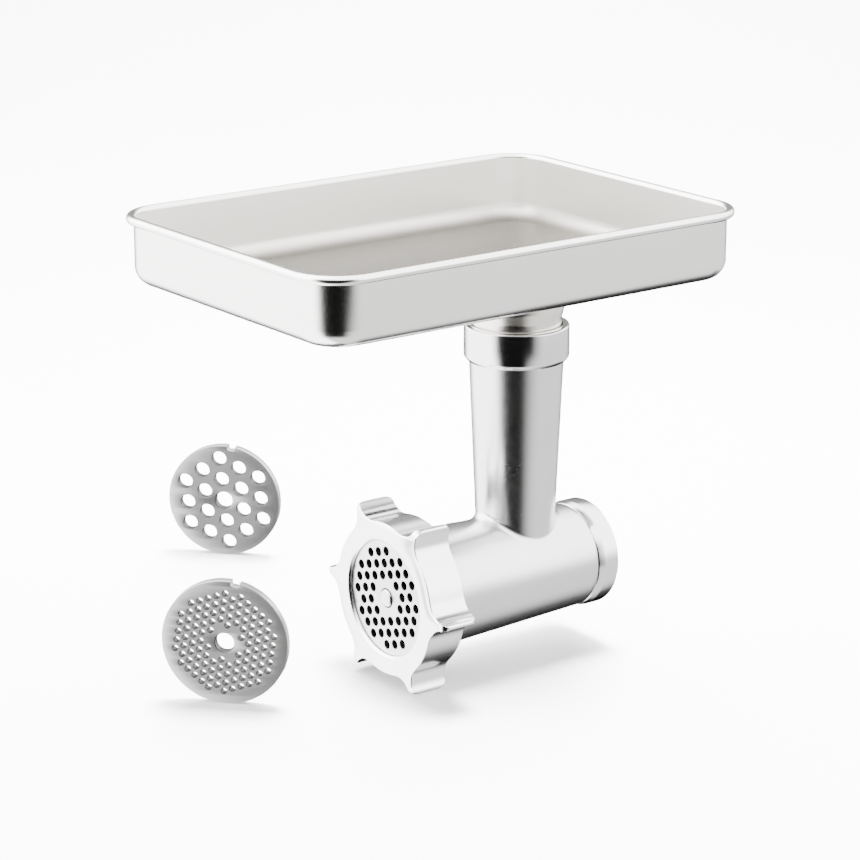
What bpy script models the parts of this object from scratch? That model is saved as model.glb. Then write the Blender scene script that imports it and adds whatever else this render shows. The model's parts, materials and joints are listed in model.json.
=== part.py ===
"""Meat grinder head that a stand mixer drives: feed tray, housing, worm, knife, plates and ring nut.

Units are metres, +Z is up. The origin is the centre of the hub's rear face, where the mixer holds
the head. The barrel runs along Y, with the ring nut towards -Y. The feed tube stands on the barrel.
"""

import math

import bmesh
import bpy
from mathutils import Matrix, Vector

MM = 0.001

# Clearances and joins
GAP = 0.3 * MM  # between pieces that seat on or in each other
RUNNING_GAP = 0.1 * MM  # radial, in a turning fit
WORM_GAP = 0.6 * MM  # radial, between the worm's flight and the bore
CUT_PAST = 1.0 * MM  # how far a cutter runs past the face it opens
JOIN = 1.0 * MM  # how far one stock runs into the stock it is joined to

# Grinding plates
PLATE_RADIUS = 31.0 * MM
PLATE_THICKNESS = 5.0 * MM
PLATE_RIM = 3.1 * MM  # least solid metal between a hole and the edge
PLATE_LIGAMENT = 2.0 * MM  # least solid metal between a hole and the centre hole
MEDIUM_HOLE = 2.25 * MM  # radius
MEDIUM_SPACING = 6.6 * MM
MEDIUM_TURN = math.radians(16.6)
COARSE_HOLE = 4.0 * MM  # radius
COARSE_SPACING = 11.8 * MM
COARSE_TURN = math.radians(35.7)
FINE_HOLE = 1.5 * MM  # radius
FINE_SPACING = 4.44 * MM
FINE_TURN = math.radians(19.3)

# Key that stops the plate from turning
KEY_RADIUS = 1.3 * MM
KEY_INSET = 0.4 * MM  # from the plate's edge in to the key's middle
KEY_SUNK = 5.5 * MM
KEY_SIDE_PLAY = 0.7 * MM
KEY_DEPTH_PLAY = 0.5 * MM

# Threaded mouth
SEAT_DEPTH = 3.1 * MM
SEAT_LEDGE = 3.3 * MM
THREAD_WALL = 2.7 * MM
THREAD_PITCH = 3.0 * MM
THREAD_TURNS = 4

# Barrel
MOUTH_FROM_HUB = 122.0 * MM
FLARE_LENGTH = 4.5 * MM
FLARE_STEP = 4.6 * MM  # how far the thread stands out over the barrel
BARREL_TAPER = 3.5 * MM
BARREL_WALL = 3.1 * MM
REAR_WALL = 6.2 * MM
CHAMBER_STEP = 2.0 * MM

# Hub, at the rear
HUB_LENGTH = 12.5 * MM
HUB_STEP = 0.9 * MM
HUB_EDGE = 1.5 * MM
REGISTER_WALL = 2.9 * MM
REGISTER_LENGTH = 3.0 * MM
SOCKET_LEDGE = 2.5 * MM
HUB_PIN_RADIUS = 2.0 * MM
HUB_PIN_INWARD = 3.0 * MM  # how far the pin stands into the socket
HUB_PIN_SUNK = 4.0 * MM
HUB_PIN_FROM_FACE = 5.0 * MM

# Ring nut
RING_WALL = 3.9 * MM
RING_LENGTH = 20.6 * MM
RING_OVERLAP = 2.4 * MM  # how far the lip reaches over the plate
RING_LIP = 1.5 * MM
RING_CHAMFER = 0.8 * MM
LUG_COUNT = 6
LUG_HEIGHT = 10.3 * MM
LUG_TURN = math.radians(-2.5)  # of the first lug from +X, with the ring tight
LUG_TIP_HALF_WIDTH = 1.5 * MM
LUG_TIP_LENGTH = 1.0 * MM
LUG_BEND_OUT = 1.0 * MM
LUG_BEND_ACROSS = 0.8 * MM
LUG_ROOT_ANGLE = math.radians(15.0)
LUG_CORNER = 4.5 * MM

# Tray and its spout
TRAY_LENGTH = 248.0 * MM
TRAY_WIDTH = 179.2 * MM
TRAY_REACH_BACK = 72.5 * MM  # from the tube's axis to the tray's rear edge
TRAY_FLOOR_OVER_COLLAR = 28.8 * MM
TRAY_DEPTH = 34.1 * MM
TRAY_SHEET = 0.9 * MM
TRAY_CORNER = 22.0 * MM
TRAY_FLOOR_ROUND = 9.0 * MM
RIM_RADIUS = 2.2 * MM
RIM_CURL_START = math.radians(-60.0)
RIM_CURL_END = 135.0  # degrees
SPOUT_WALL = 1.1 * MM
SPOUT_RADIUS = 22.0 * MM
SPOUT_STEP_OUT = 1.4 * MM
SPOUT_STEP_HEIGHT = 5.0 * MM  # over the collar
SPOUT_BEAD = 0.6 * MM
SPOUT_BEAD_HEIGHT = 2.4 * MM
SPOUT_INSERT = 19.3 * MM
SPOUT_FLANGE = 1.2 * MM
SPOUT_FLANGE_WIDTH = 5.6 * MM
SPOUT_FIT = 0.4 * MM  # radial, in the tube's socket

# Feed tube and its collar
TUBE_FROM_HUB = 45.5 * MM
TUBE_FOOT_HEIGHT = 10.0 * MM
TUBE_TAPER = 4.3 * MM
TUBE_SHOULDER = 0.9 * MM
TUBE_WALL = 2.5 * MM
TUBE_BAND_WALL = 1.8 * MM
TUBE_BAND_SHOWN = 2.5 * MM  # of the band, under the collar
COLLAR_TOP = 125.4 * MM
COLLAR_HEIGHT = 15.5 * MM
COLLAR_WALL = 1.3 * MM
COLLAR_LIP = 4.0 * MM
COLLAR_ROUND = 3.6 * MM
COLLAR_TOP_EDGE = 0.75 * MM

# Worm, its studs and its bearings
WORM_TURNS = 3.5
WORM_PITCH_DROP = 0.18  # how much the pitch shortens towards the front
WORM_CORE_REAR = 10.0 * MM
WORM_CORE_FRONT = 12.0 * MM
WORM_EDGE = 1.0 * MM
WORM_BOSS_MARGIN = 1.0 * MM
WORM_BOSS_LENGTH = 9.0 * MM
WORM_BOSS_SLOPE = 2.0 * MM
FLIGHT_ROOT = 6.0 * MM
FLIGHT_TIP = 2.6 * MM
FLIGHT_SUNK = 1.5 * MM
JOURNAL_RADIUS = 8.0 * MM
STUD_SHANK_RADIUS = 3.9 * MM
STUD_SHANK_LENGTH = 13.0 * MM
STUD_SQUARE = 9.6 * MM
STUD_PIN_RADIUS = 4.3 * MM
STUD_PIN_PLAY = 0.4 * MM
STUD_PIN_PROUD = 1.0 * MM  # beyond the plate's face
KNIFE_THICKNESS = 5.5 * MM
KNIFE_HUB_RADIUS = 10.0 * MM
KNIFE_BLADES = 4
KNIFE_BLADE_WIDTH = 8.0 * MM
KNIFE_BLADE_SPREAD = 1.3  # how much wider the blade's leading side is at its tip
KNIFE_TIP = 2.0 * MM
KNIFE_REACH_GAP = 1.0 * MM
DRIVE_RADIUS = 4.5 * MM
DRIVE_SQUARE = 9.5 * MM
DRIVE_INSERT = 20.5 * MM
DRIVE_TANG_LENGTH = 11.7 * MM
DRIVE_PIN_RADIUS = 1.5 * MM
BUSH_FLANGE = 2.0 * MM
BUSH_FLANGE_WIDTH = 3.3 * MM
BUSH_WALL = 2.6 * MM
BUSH_BODY = 3.1 * MM
SEAL_SECTION = 1.2 * MM  # radius
WASHER_THICKNESS = 1.4 * MM

# Loose plates, standing beside the head on the surface that the lugs reach down to
COARSE_PLATE_AT = (-212.7 * MM, -79.1 * MM)
FINE_PLATE_AT = (-25.6 * MM, -200.3 * MM)
LOOSE_PLATE_AZIMUTH = math.radians(42.3)
MEDIUM_NOTCH = math.radians(90.0)
COARSE_NOTCH = math.radians(81.5)
FINE_NOTCH = math.radians(79.3)

# Finishes: colour, roughness and, where it isn't metal, 0
CAST = ((0.74, 0.74, 0.73), 0.28)
TURNED = ((0.76, 0.76, 0.75), 0.22)
RING_FINISH = ((0.80, 0.80, 0.80), 0.18)
SHEET = ((0.72, 0.71, 0.69), 0.25)
STEEL = ((0.70, 0.70, 0.69), 0.3)
MEDIUM_FINISH = ((0.75, 0.75, 0.74), 0.25)
COARSE_FINISH = ((0.73, 0.73, 0.72), 0.3)
FINE_FINISH = ((0.66, 0.66, 0.65), 0.3)
BRONZE = ((0.72, 0.52, 0.28), 0.35)
RUBBER = ((0.03, 0.03, 0.03), 0.6, 0.0)
NYLON = ((0.85, 0.84, 0.80), 0.5, 0.0)
SHARP_ANGLE = 35.0  # degrees, above which an edge is drawn sharp

# Facets
ROUND = 40
MID_ROUND = 24
SMALL_ROUND = 12
COARSE_HOLE_SIDES = 10
SMALL_HOLE_SIDES = 6
ARC_STEPS = 3
FLANK_STEPS = 5
LUG_VALLEY_STEPS = 4
WORM_STEPS_PER_TURN = 18
TRAY_CORNER_STEPS = 6
OFF_FACET = math.radians(2.9)  # keeps the edges of a tube and of the barrel it meets from coinciding

# Radii that follow
PLATE_SEAT_RADIUS = PLATE_RADIUS + GAP
PLATE_CENTRE_HOLE = STUD_PIN_RADIUS + STUD_PIN_PLAY
KEY_CENTRE = PLATE_RADIUS - KEY_INSET  # distance from the barrel's axis
NOTCH_HALF_WIDTH = KEY_RADIUS + KEY_SIDE_PLAY
NOTCH_FLOOR = KEY_CENTRE - KEY_RADIUS - KEY_DEPTH_PLAY
THREAD_RADIUS = PLATE_SEAT_RADIUS + THREAD_WALL
THREAD_BORE_RADIUS = THREAD_RADIUS + GAP
CHAMBER_RADIUS = PLATE_SEAT_RADIUS - SEAT_LEDGE
BARREL_FRONT_RADIUS = THREAD_RADIUS - FLARE_STEP
BARREL_REAR_RADIUS = BARREL_FRONT_RADIUS - BARREL_TAPER
HUB_RADIUS = BARREL_REAR_RADIUS + HUB_STEP
REGISTER_RADIUS = BARREL_REAR_RADIUS - REGISTER_WALL
HUB_SOCKET_RADIUS = REGISTER_RADIUS - SOCKET_LEDGE
RING_RADIUS = THREAD_BORE_RADIUS + RING_WALL
RING_OPENING = PLATE_RADIUS - RING_OVERLAP
LUG_RADIUS = RING_RADIUS + LUG_HEIGHT
BUSH_RADIUS = JOURNAL_RADIUS + RUNNING_GAP + BUSH_WALL
BUSH_SEAT_RADIUS = BUSH_RADIUS + GAP
BUSH_FLANGE_RADIUS = BUSH_RADIUS + BUSH_FLANGE_WIDTH
WORM_BOSS_RADIUS = BUSH_FLANGE_RADIUS + WORM_BOSS_MARGIN
SPOUT_UPPER_RADIUS = SPOUT_RADIUS + SPOUT_STEP_OUT
SPOUT_FLANGE_RADIUS = SPOUT_UPPER_RADIUS + SPOUT_FLANGE_WIDTH
SOCKET_RADIUS = SPOUT_RADIUS + SPOUT_FIT
TUBE_BAND_RADIUS = SOCKET_RADIUS + TUBE_BAND_WALL
TUBE_TOP_RADIUS = TUBE_BAND_RADIUS - TUBE_SHOULDER
TUBE_FOOT_RADIUS = TUBE_TOP_RADIUS - TUBE_TAPER
COLLAR_BORE_RADIUS = TUBE_BAND_RADIUS + GAP
COLLAR_RADIUS = COLLAR_BORE_RADIUS + COLLAR_WALL

# Stations along the barrel
TUBE_Y = -TUBE_FROM_HUB
HUB_FRONT_Y = -HUB_LENGTH
BARREL_REAR_Y = HUB_FRONT_Y - GAP
REAR_WALL_Y = BARREL_REAR_Y - REGISTER_LENGTH
CHAMBER_END_Y = REAR_WALL_Y - REAR_WALL
MOUTH_Y = -MOUTH_FROM_HUB
SEAT_Y = MOUTH_Y + SEAT_DEPTH
PLATE_REAR_Y = SEAT_Y - GAP
PLATE_FRONT_Y = PLATE_REAR_Y - PLATE_THICKNESS
RING_LIP_Y = PLATE_FRONT_Y - GAP
RING_FRONT_Y = RING_LIP_Y - RING_LIP
RING_REAR_Y = RING_FRONT_Y + RING_LENGTH
FLARE_Y = MOUTH_Y + THREAD_TURNS * THREAD_PITCH
BARREL_FRONT_Y = FLARE_Y + FLARE_LENGTH
KNIFE_FRONT_Y = PLATE_REAR_Y + GAP
KNIFE_REAR_Y = KNIFE_FRONT_Y + KNIFE_THICKNESS
WORM_FRONT_Y = KNIFE_REAR_Y + GAP
CHAMBER_Y = WORM_FRONT_Y + GAP
BORE_FRONT_Y = CHAMBER_Y + CHAMBER_STEP
BUSH_FLANGE_Y = CHAMBER_END_Y - GAP - BUSH_FLANGE
BUSH_END_Y = CHAMBER_END_Y + BUSH_BODY
WASHER_Y = BUSH_FLANGE_Y - GAP - WASHER_THICKNESS
WORM_REAR_Y = WASHER_Y - GAP
JOURNAL_END_Y = REAR_WALL_Y + GAP
TANG_Y = JOURNAL_END_Y + GAP
DRIVE_PIN_Y = WORM_REAR_Y - WORM_BOSS_LENGTH / 2

# Heights
COLLAR_BOTTOM = COLLAR_TOP - COLLAR_HEIGHT
TUBE_STEP_Z = COLLAR_BOTTOM - GAP - TUBE_BAND_SHOWN
TUBE_TOP_Z = COLLAR_TOP - COLLAR_LIP - GAP
SPOUT_BOTTOM_Z = COLLAR_TOP - SPOUT_INSERT
SPOUT_STEP_Z = COLLAR_TOP + SPOUT_STEP_HEIGHT
SOCKET_FLOOR_Z = SPOUT_BOTTOM_Z - GAP
TRAY_FLOOR = COLLAR_TOP + TRAY_FLOOR_OVER_COLLAR  # its underside
TRAY_TOP = TRAY_FLOOR + TRAY_DEPTH
SPOUT_TOP_Z = TRAY_FLOOR - GAP
FLOOR_Z = -(LUG_RADIUS * math.sin(math.tau / LUG_COUNT - LUG_TURN) + LUG_TIP_HALF_WIDTH / 2)


def clear_scene():
    for item in list(bpy.data.objects):
        bpy.data.objects.remove(item, do_unlink=True)


def metal(name, colour, roughness, metallic=1.0):
    material = bpy.data.materials.new(name)
    material.use_nodes = True
    shader = material.node_tree.nodes["Principled BSDF"]
    shader.inputs["Base Color"].default_value = (*colour, 1.0)
    shader.inputs["Roughness"].default_value = roughness
    shader.inputs["Metallic"].default_value = metallic
    return material


def place(name, bm, finish):
    """Turns a bmesh into a named object with its own material."""
    bmesh.ops.recalc_face_normals(bm, faces=bm.faces)
    bmesh.ops.triangulate(bm, faces=bm.faces)
    mesh = bpy.data.meshes.new(name)
    bm.to_mesh(mesh)
    bm.free()
    mesh.shade_smooth()
    mesh.set_sharp_from_angle(angle=math.radians(SHARP_ANGLE))
    item = bpy.data.objects.new(name, mesh)
    bpy.context.scene.collection.objects.link(item)
    if finish:
        mesh.materials.append(metal(name + "_metal", *finish))
    return item


def combine(item, operation, other, solver="EXACT"):
    """Adds a Boolean and keeps the other object as a hidden helper.

    The housing and the worm use the MANIFOLD solver, because EXACT leaves open edges in them.
    """
    other.hide_render = True
    other.display_type = "WIRE"
    boolean = item.modifiers.new(other.name, "BOOLEAN")
    boolean.operation = operation
    boolean.solver = solver
    boolean.object = other


def turned(profile, steps, axis="Y"):
    """A bmesh of the (radius, station) profile turned about the Y or the Z axis."""
    bm = bmesh.new()
    along = Vector((0, 1, 0)) if axis == "Y" else Vector((0, 0, 1))
    points = [bm.verts.new(Vector((radius, 0, 0)) + along * station) for radius, station in profile]
    edges = [bm.edges.new((a, b)) for a, b in zip(points, points[1:] + points[:1])]
    on_axis = [edge for edge in edges if max(abs(v.co.x) for v in edge.verts) < 1e-9]
    for edge in on_axis:
        bm.edges.remove(edge)
        edges.remove(edge)
    bmesh.ops.spin(
        bm,
        geom=points + edges,
        cent=(0, 0, 0),
        axis=along,
        angle=math.tau,
        steps=steps,
        use_merge=True,
    )
    bmesh.ops.remove_doubles(bm, verts=bm.verts, dist=1e-7)
    return bm


def arc(centre, radius, start, end, steps):
    """Points on an arc in a profile's plane, with angles in degrees."""
    angles = [math.radians(start + (end - start) * i / steps) for i in range(steps + 1)]
    return [(centre[0] + radius * math.cos(a), centre[1] + radius * math.sin(a)) for a in angles]


def prism(outline, low, high):
    """A bmesh of an (x, z) outline stretched along Y from low to high."""
    bm = bmesh.new()
    face = bm.faces.new([bm.verts.new((x, low, z)) for x, z in outline])
    grown = bmesh.ops.extrude_face_region(bm, geom=[face])["geom"]
    moved = [item for item in grown if isinstance(item, bmesh.types.BMVert)]
    bmesh.ops.translate(bm, verts=moved, vec=(0, high - low, 0))
    return bm


def rod(radius, length, steps, matrix):
    """A bmesh cylinder along the matrix's own Z, centred on it."""
    bm = bmesh.new()
    bmesh.ops.create_cone(
        bm, cap_ends=True, segments=steps, radius1=radius, radius2=radius, depth=length, matrix=matrix
    )
    return bm


def along_y(y, z=0.0):
    return Matrix.Translation((0, y, z)) @ Matrix.Rotation(math.radians(90), 4, "X")


def along_x(x, y):
    return Matrix.Translation((x, y, 0)) @ Matrix.Rotation(math.radians(90), 4, "Y")


def mix(a, b, share):
    return a + (b - a) * share


def bore_radius(y):
    """Radius of the tapered barrel bore at a station."""
    share = (y - BORE_FRONT_Y) / (CHAMBER_END_Y - BORE_FRONT_Y)
    return mix(BARREL_FRONT_RADIUS, BARREL_REAR_RADIUS, share) - BARREL_WALL


def tube_radius(z):
    """Outside radius of the tapered feed tube at a height."""
    share = (z - TUBE_FOOT_HEIGHT) / (TUBE_STEP_Z - TUBE_FOOT_HEIGHT)
    return mix(TUBE_FOOT_RADIUS, TUBE_TOP_RADIUS, share)


# Housing and hub


def make_housing():
    barrel = place(
        "housing",
        turned(
            [
                (0, MOUTH_Y),
                (THREAD_RADIUS, MOUTH_Y),
                (THREAD_RADIUS, FLARE_Y),
                (BARREL_FRONT_RADIUS, BARREL_FRONT_Y),
                (BARREL_REAR_RADIUS, BARREL_REAR_Y),
                (0, BARREL_REAR_Y),
            ],
            ROUND,
        ),
        CAST,
    )
    tube = place(
        "tube_stock",
        turned(
            [
                (0, TUBE_FOOT_HEIGHT),
                (TUBE_FOOT_RADIUS, TUBE_FOOT_HEIGHT),
                (TUBE_TOP_RADIUS, TUBE_STEP_Z),
                (TUBE_BAND_RADIUS, TUBE_STEP_Z),
                (TUBE_BAND_RADIUS, TUBE_TOP_Z),
                (0, TUBE_TOP_Z),
            ],
            ROUND,
            "Z",
        ),
        None,
    )
    tube.location.y = TUBE_Y
    tube.rotation_euler.z = OFF_FACET
    combine(barrel, "UNION", tube, "MANIFOLD")
    feed = place(
        "feed_bore",
        turned(
            [
                (0, TUBE_FOOT_HEIGHT),
                (TUBE_FOOT_RADIUS - TUBE_WALL, TUBE_FOOT_HEIGHT),
                (tube_radius(SOCKET_FLOOR_Z) - TUBE_WALL, SOCKET_FLOOR_Z),
                (SOCKET_RADIUS, SOCKET_FLOOR_Z),
                (SOCKET_RADIUS, TUBE_TOP_Z + CUT_PAST),
                (0, TUBE_TOP_Z + CUT_PAST),
            ],
            ROUND,
            "Z",
        ),
        None,
    )
    feed.location.y = TUBE_Y
    feed.rotation_euler.z = OFF_FACET
    combine(barrel, "DIFFERENCE", feed, "MANIFOLD")
    bore = place(
        "barrel_bore",
        turned(
            [
                (0, MOUTH_Y - CUT_PAST),
                (PLATE_SEAT_RADIUS, MOUTH_Y - CUT_PAST),
                (PLATE_SEAT_RADIUS, SEAT_Y),
                (CHAMBER_RADIUS, SEAT_Y),
                (CHAMBER_RADIUS, CHAMBER_Y),
                (bore_radius(BORE_FRONT_Y), BORE_FRONT_Y),
                (bore_radius(CHAMBER_END_Y), CHAMBER_END_Y),
                (BUSH_SEAT_RADIUS, CHAMBER_END_Y),
                (BUSH_SEAT_RADIUS, REAR_WALL_Y),
                (REGISTER_RADIUS + GAP, REAR_WALL_Y),
                (REGISTER_RADIUS + GAP, BARREL_REAR_Y + CUT_PAST),
                (0, BARREL_REAR_Y + CUT_PAST),
            ],
            ROUND,
        ),
        None,
    )
    combine(barrel, "DIFFERENCE", bore, "MANIFOLD")
    reach = KEY_SUNK + SEAT_DEPTH + CUT_PAST
    key_at = along_y(SEAT_Y + KEY_SUNK - reach / 2, KEY_CENTRE)
    key_hole = place("key_hole", rod(KEY_RADIUS + GAP, reach, SMALL_ROUND, key_at), None)
    combine(barrel, "DIFFERENCE", key_hole, "MANIFOLD")


def make_plate_key():
    front = MOUTH_Y + GAP
    rear = SEAT_Y + KEY_SUNK - GAP
    shape = rod(KEY_RADIUS, rear - front, SMALL_ROUND, along_y((front + rear) / 2, KEY_CENTRE))
    place("plate_key", shape, STEEL)


def make_hub_collar():
    hub = place(
        "hub_collar",
        turned(
            [
                (HUB_SOCKET_RADIUS, 0),
                (HUB_RADIUS - HUB_EDGE, 0),
                *arc((HUB_RADIUS - HUB_EDGE, -HUB_EDGE), HUB_EDGE, 60, 0, 2),
                (HUB_RADIUS, HUB_FRONT_Y),
                (REGISTER_RADIUS, HUB_FRONT_Y),
                (REGISTER_RADIUS, REAR_WALL_Y + GAP),
                (HUB_SOCKET_RADIUS, REAR_WALL_Y + GAP),
            ],
            ROUND,
        ),
        TURNED,
    )
    length = HUB_PIN_INWARD + HUB_PIN_SUNK
    middle = HUB_SOCKET_RADIUS - HUB_PIN_INWARD + length / 2
    for side, sign in (("left", -1), ("right", 1)):
        at = along_x(sign * middle, -HUB_PIN_FROM_FACE)
        hole = rod(HUB_PIN_RADIUS + GAP, length + 2 * GAP, SMALL_ROUND, at)
        combine(hub, "DIFFERENCE", place("hub_pin_hole_" + side, hole, None))
        place("hub_pin_" + side, rod(HUB_PIN_RADIUS, length, SMALL_ROUND, at), STEEL)


def make_feed_collar():
    shape = turned(
        [
            (SOCKET_RADIUS, COLLAR_TOP),
            (SOCKET_RADIUS, COLLAR_TOP - COLLAR_LIP),
            (COLLAR_BORE_RADIUS, COLLAR_TOP - COLLAR_LIP),
            (COLLAR_BORE_RADIUS, COLLAR_BOTTOM),
            (COLLAR_RADIUS - COLLAR_ROUND / 4, COLLAR_BOTTOM),
            (COLLAR_RADIUS, COLLAR_BOTTOM + COLLAR_ROUND),
            (COLLAR_RADIUS, COLLAR_TOP - COLLAR_TOP_EDGE),
            (COLLAR_RADIUS - COLLAR_TOP_EDGE, COLLAR_TOP),
        ],
        ROUND,
        "Z",
    )
    collar = place("feed_collar", shape, TURNED)
    collar.location.y = TUBE_Y


# Tray


def rounded_rectangle(inset, z):
    """Points at one height on the tray's outline, moved in from its outer edge."""
    half_x = TRAY_WIDTH / 2 - inset
    half_y = TRAY_LENGTH / 2 - inset
    corner = max(TRAY_CORNER + RIM_RADIUS - inset, MM)
    points = []
    for quarter in range(4):
        sign_x = 1 if quarter in (0, 3) else -1
        sign_y = 1 if quarter in (0, 1) else -1
        for step in range(TRAY_CORNER_STEPS + 1):
            angle = math.radians(90) * (quarter + step / TRAY_CORNER_STEPS)
            x = sign_x * (half_x - corner) + corner * math.cos(angle)
            y = sign_y * (half_y - corner) + corner * math.sin(angle)
            points.append(Vector((x, y, z)))
    return points


def pan_section():
    """(inset, height) round the sheet's section: up the outside, over the rim, down the inside."""
    wall_out = 2 * RIM_RADIUS - TRAY_SHEET
    wall_in = 2 * RIM_RADIUS
    rim_z = TRAY_TOP - RIM_RADIUS
    section = []
    for x, z in arc((0, 0), TRAY_FLOOR_ROUND, 90, 0, ARC_STEPS):
        section.append((wall_out + TRAY_FLOOR_ROUND - x, TRAY_FLOOR + TRAY_FLOOR_ROUND - z))
    section.append((wall_out, rim_z + RIM_RADIUS * math.sin(RIM_CURL_START)))
    for x, z in arc((0, 0), RIM_RADIUS, 0, RIM_CURL_END, ARC_STEPS):
        section.append((RIM_RADIUS - x, rim_z + z))
    section.append((wall_in, rim_z))
    inner = TRAY_FLOOR_ROUND - TRAY_SHEET
    for x, z in arc((0, 0), inner, 0, 90, ARC_STEPS):
        section.append((wall_in + inner - x, TRAY_FLOOR + TRAY_FLOOR_ROUND - z))
    return section


def make_tray_pan():
    tray_y = TUBE_Y + TRAY_REACH_BACK - TRAY_LENGTH / 2
    bm = bmesh.new()
    rows = [[bm.verts.new(point) for point in rounded_rectangle(inset, z)] for inset, z in pan_section()]
    for row, following in zip(rows, rows[1:]):
        for i in range(len(row)):
            j = (i + 1) % len(row)
            bm.faces.new((row[i], row[j], following[j], following[i]))
    bm.faces.new(rows[0])
    bm.faces.new(rows[-1])
    pan = place("tray_pan", bm, SHEET)
    pan.location.y = tray_y
    hole_at = Matrix.Translation((0, TUBE_Y, TRAY_FLOOR))
    hole = rod(SPOUT_UPPER_RADIUS - SPOUT_WALL, 4 * TRAY_SHEET, ROUND, hole_at)
    hole = place("spout_hole", hole, None)
    combine(pan, "DIFFERENCE", hole)


def make_tray_spout():
    shape = turned(
        [
            (SPOUT_RADIUS, SPOUT_BOTTOM_Z),
            (SPOUT_RADIUS, SPOUT_STEP_Z),
            (SPOUT_UPPER_RADIUS + SPOUT_BEAD, SPOUT_STEP_Z + SPOUT_BEAD_HEIGHT / 2),
            (SPOUT_UPPER_RADIUS, SPOUT_STEP_Z + SPOUT_BEAD_HEIGHT),
            (SPOUT_UPPER_RADIUS, SPOUT_TOP_Z - SPOUT_FLANGE),
            (SPOUT_FLANGE_RADIUS, SPOUT_TOP_Z - SPOUT_FLANGE),
            (SPOUT_FLANGE_RADIUS, SPOUT_TOP_Z),
            (SPOUT_UPPER_RADIUS - SPOUT_WALL, SPOUT_TOP_Z),
            (SPOUT_UPPER_RADIUS - SPOUT_WALL, SPOUT_STEP_Z + SPOUT_BEAD_HEIGHT / 2),
            (SPOUT_RADIUS - SPOUT_WALL, SPOUT_STEP_Z),
            (SPOUT_RADIUS - SPOUT_WALL, SPOUT_BOTTOM_Z),
        ],
        ROUND,
        "Z",
    )
    spout = place("tray_spout", shape, SHEET)
    spout.location.y = TUBE_Y


# Worm and what turns with it


def flight():
    """The worm's helical flight, with a pitch that shortens towards the front."""
    steps = int(WORM_TURNS * WORM_STEPS_PER_TURN)
    low = BORE_FRONT_Y + FLIGHT_ROOT / 2
    high = WORM_REAR_Y - FLIGHT_ROOT / 2
    rings = []
    bm = bmesh.new()
    for i in range(steps + 1):
        share = i / steps
        y = mix(low, high, share - WORM_PITCH_DROP * share * (1 - share))
        turn = -math.tau * WORM_TURNS * share
        root = mix(WORM_CORE_FRONT, WORM_CORE_REAR, share) - FLIGHT_SUNK
        section = (
            (root, -FLIGHT_ROOT / 2),
            (bore_radius(y) - WORM_GAP, -FLIGHT_TIP / 2),
            (bore_radius(y) - WORM_GAP, FLIGHT_TIP / 2),
            (root, FLIGHT_ROOT / 2),
        )
        ring = [bm.verts.new((r * math.cos(turn), y + dy, r * math.sin(turn))) for r, dy in section]
        rings.append(ring)
    for ring, following in zip(rings, rings[1:]):
        for i in range(4):
            j = (i + 1) % 4
            bm.faces.new((ring[i], ring[j], following[j], following[i]))
    bm.faces.new(rings[0])
    bm.faces.new(list(reversed(rings[-1])))
    return bm


def bored(item, name, radius, length, at):
    """Cuts a round hole with the solver that keeps the worm closed."""
    combine(item, "DIFFERENCE", place(name, rod(radius, length, SMALL_ROUND, at), None), "MANIFOLD")


def make_auger():
    boss_end = WORM_REAR_Y - WORM_BOSS_LENGTH
    core = place(
        "auger",
        turned(
            [
                (0, WORM_FRONT_Y),
                (WORM_CORE_FRONT - WORM_EDGE, WORM_FRONT_Y),
                (WORM_CORE_FRONT, WORM_FRONT_Y + WORM_EDGE),
                (WORM_CORE_FRONT, BORE_FRONT_Y),
                (WORM_CORE_REAR, boss_end - WORM_BOSS_SLOPE),
                (WORM_BOSS_RADIUS, boss_end + WORM_BOSS_SLOPE),
                (WORM_BOSS_RADIUS, WORM_REAR_Y),
                (JOURNAL_RADIUS, WORM_REAR_Y),
                (JOURNAL_RADIUS, JOURNAL_END_Y),
                (0, JOURNAL_END_Y),
            ],
            MID_ROUND,
        ),
        CAST,
    )
    combine(core, "UNION", place("flight_stock", flight(), None), "MANIFOLD")
    depth = STUD_SHANK_LENGTH + GAP + CUT_PAST
    bored(core, "stud_bore", STUD_SHANK_RADIUS + GAP, depth, along_y(WORM_FRONT_Y - CUT_PAST + depth / 2))
    depth = DRIVE_INSERT + GAP + CUT_PAST
    bored(core, "drive_bore", DRIVE_RADIUS + GAP, depth, along_y(JOURNAL_END_Y + CUT_PAST - depth / 2))
    depth = 2 * (WORM_BOSS_RADIUS + CUT_PAST)
    bored(core, "cross_hole", DRIVE_PIN_RADIUS + GAP, depth, along_x(0, DRIVE_PIN_Y))


def square_bar(side, low, high):
    half = side / 2
    return prism([(-half, -half), (half, -half), (half, half), (-half, half)], low, high)


def add_rod(item, name, radius, low, high, steps):
    """Joins a round length along the barrel's axis to a piece."""
    stock = rod(radius, high - low, steps, along_y((low + high) / 2))
    combine(item, "UNION", place(name, stock, None))


def make_front_stud():
    front = PLATE_REAR_Y + GAP
    rear = WORM_FRONT_Y - GAP
    stud = place("front_stud", square_bar(STUD_SQUARE, front, rear), STEEL)
    add_rod(stud, "stud_shank", STUD_SHANK_RADIUS, rear - JOIN, WORM_FRONT_Y + STUD_SHANK_LENGTH, SMALL_ROUND)
    add_rod(stud, "stud_pin", STUD_PIN_RADIUS, PLATE_FRONT_Y - STUD_PIN_PROUD, front + JOIN, MID_ROUND)


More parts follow.
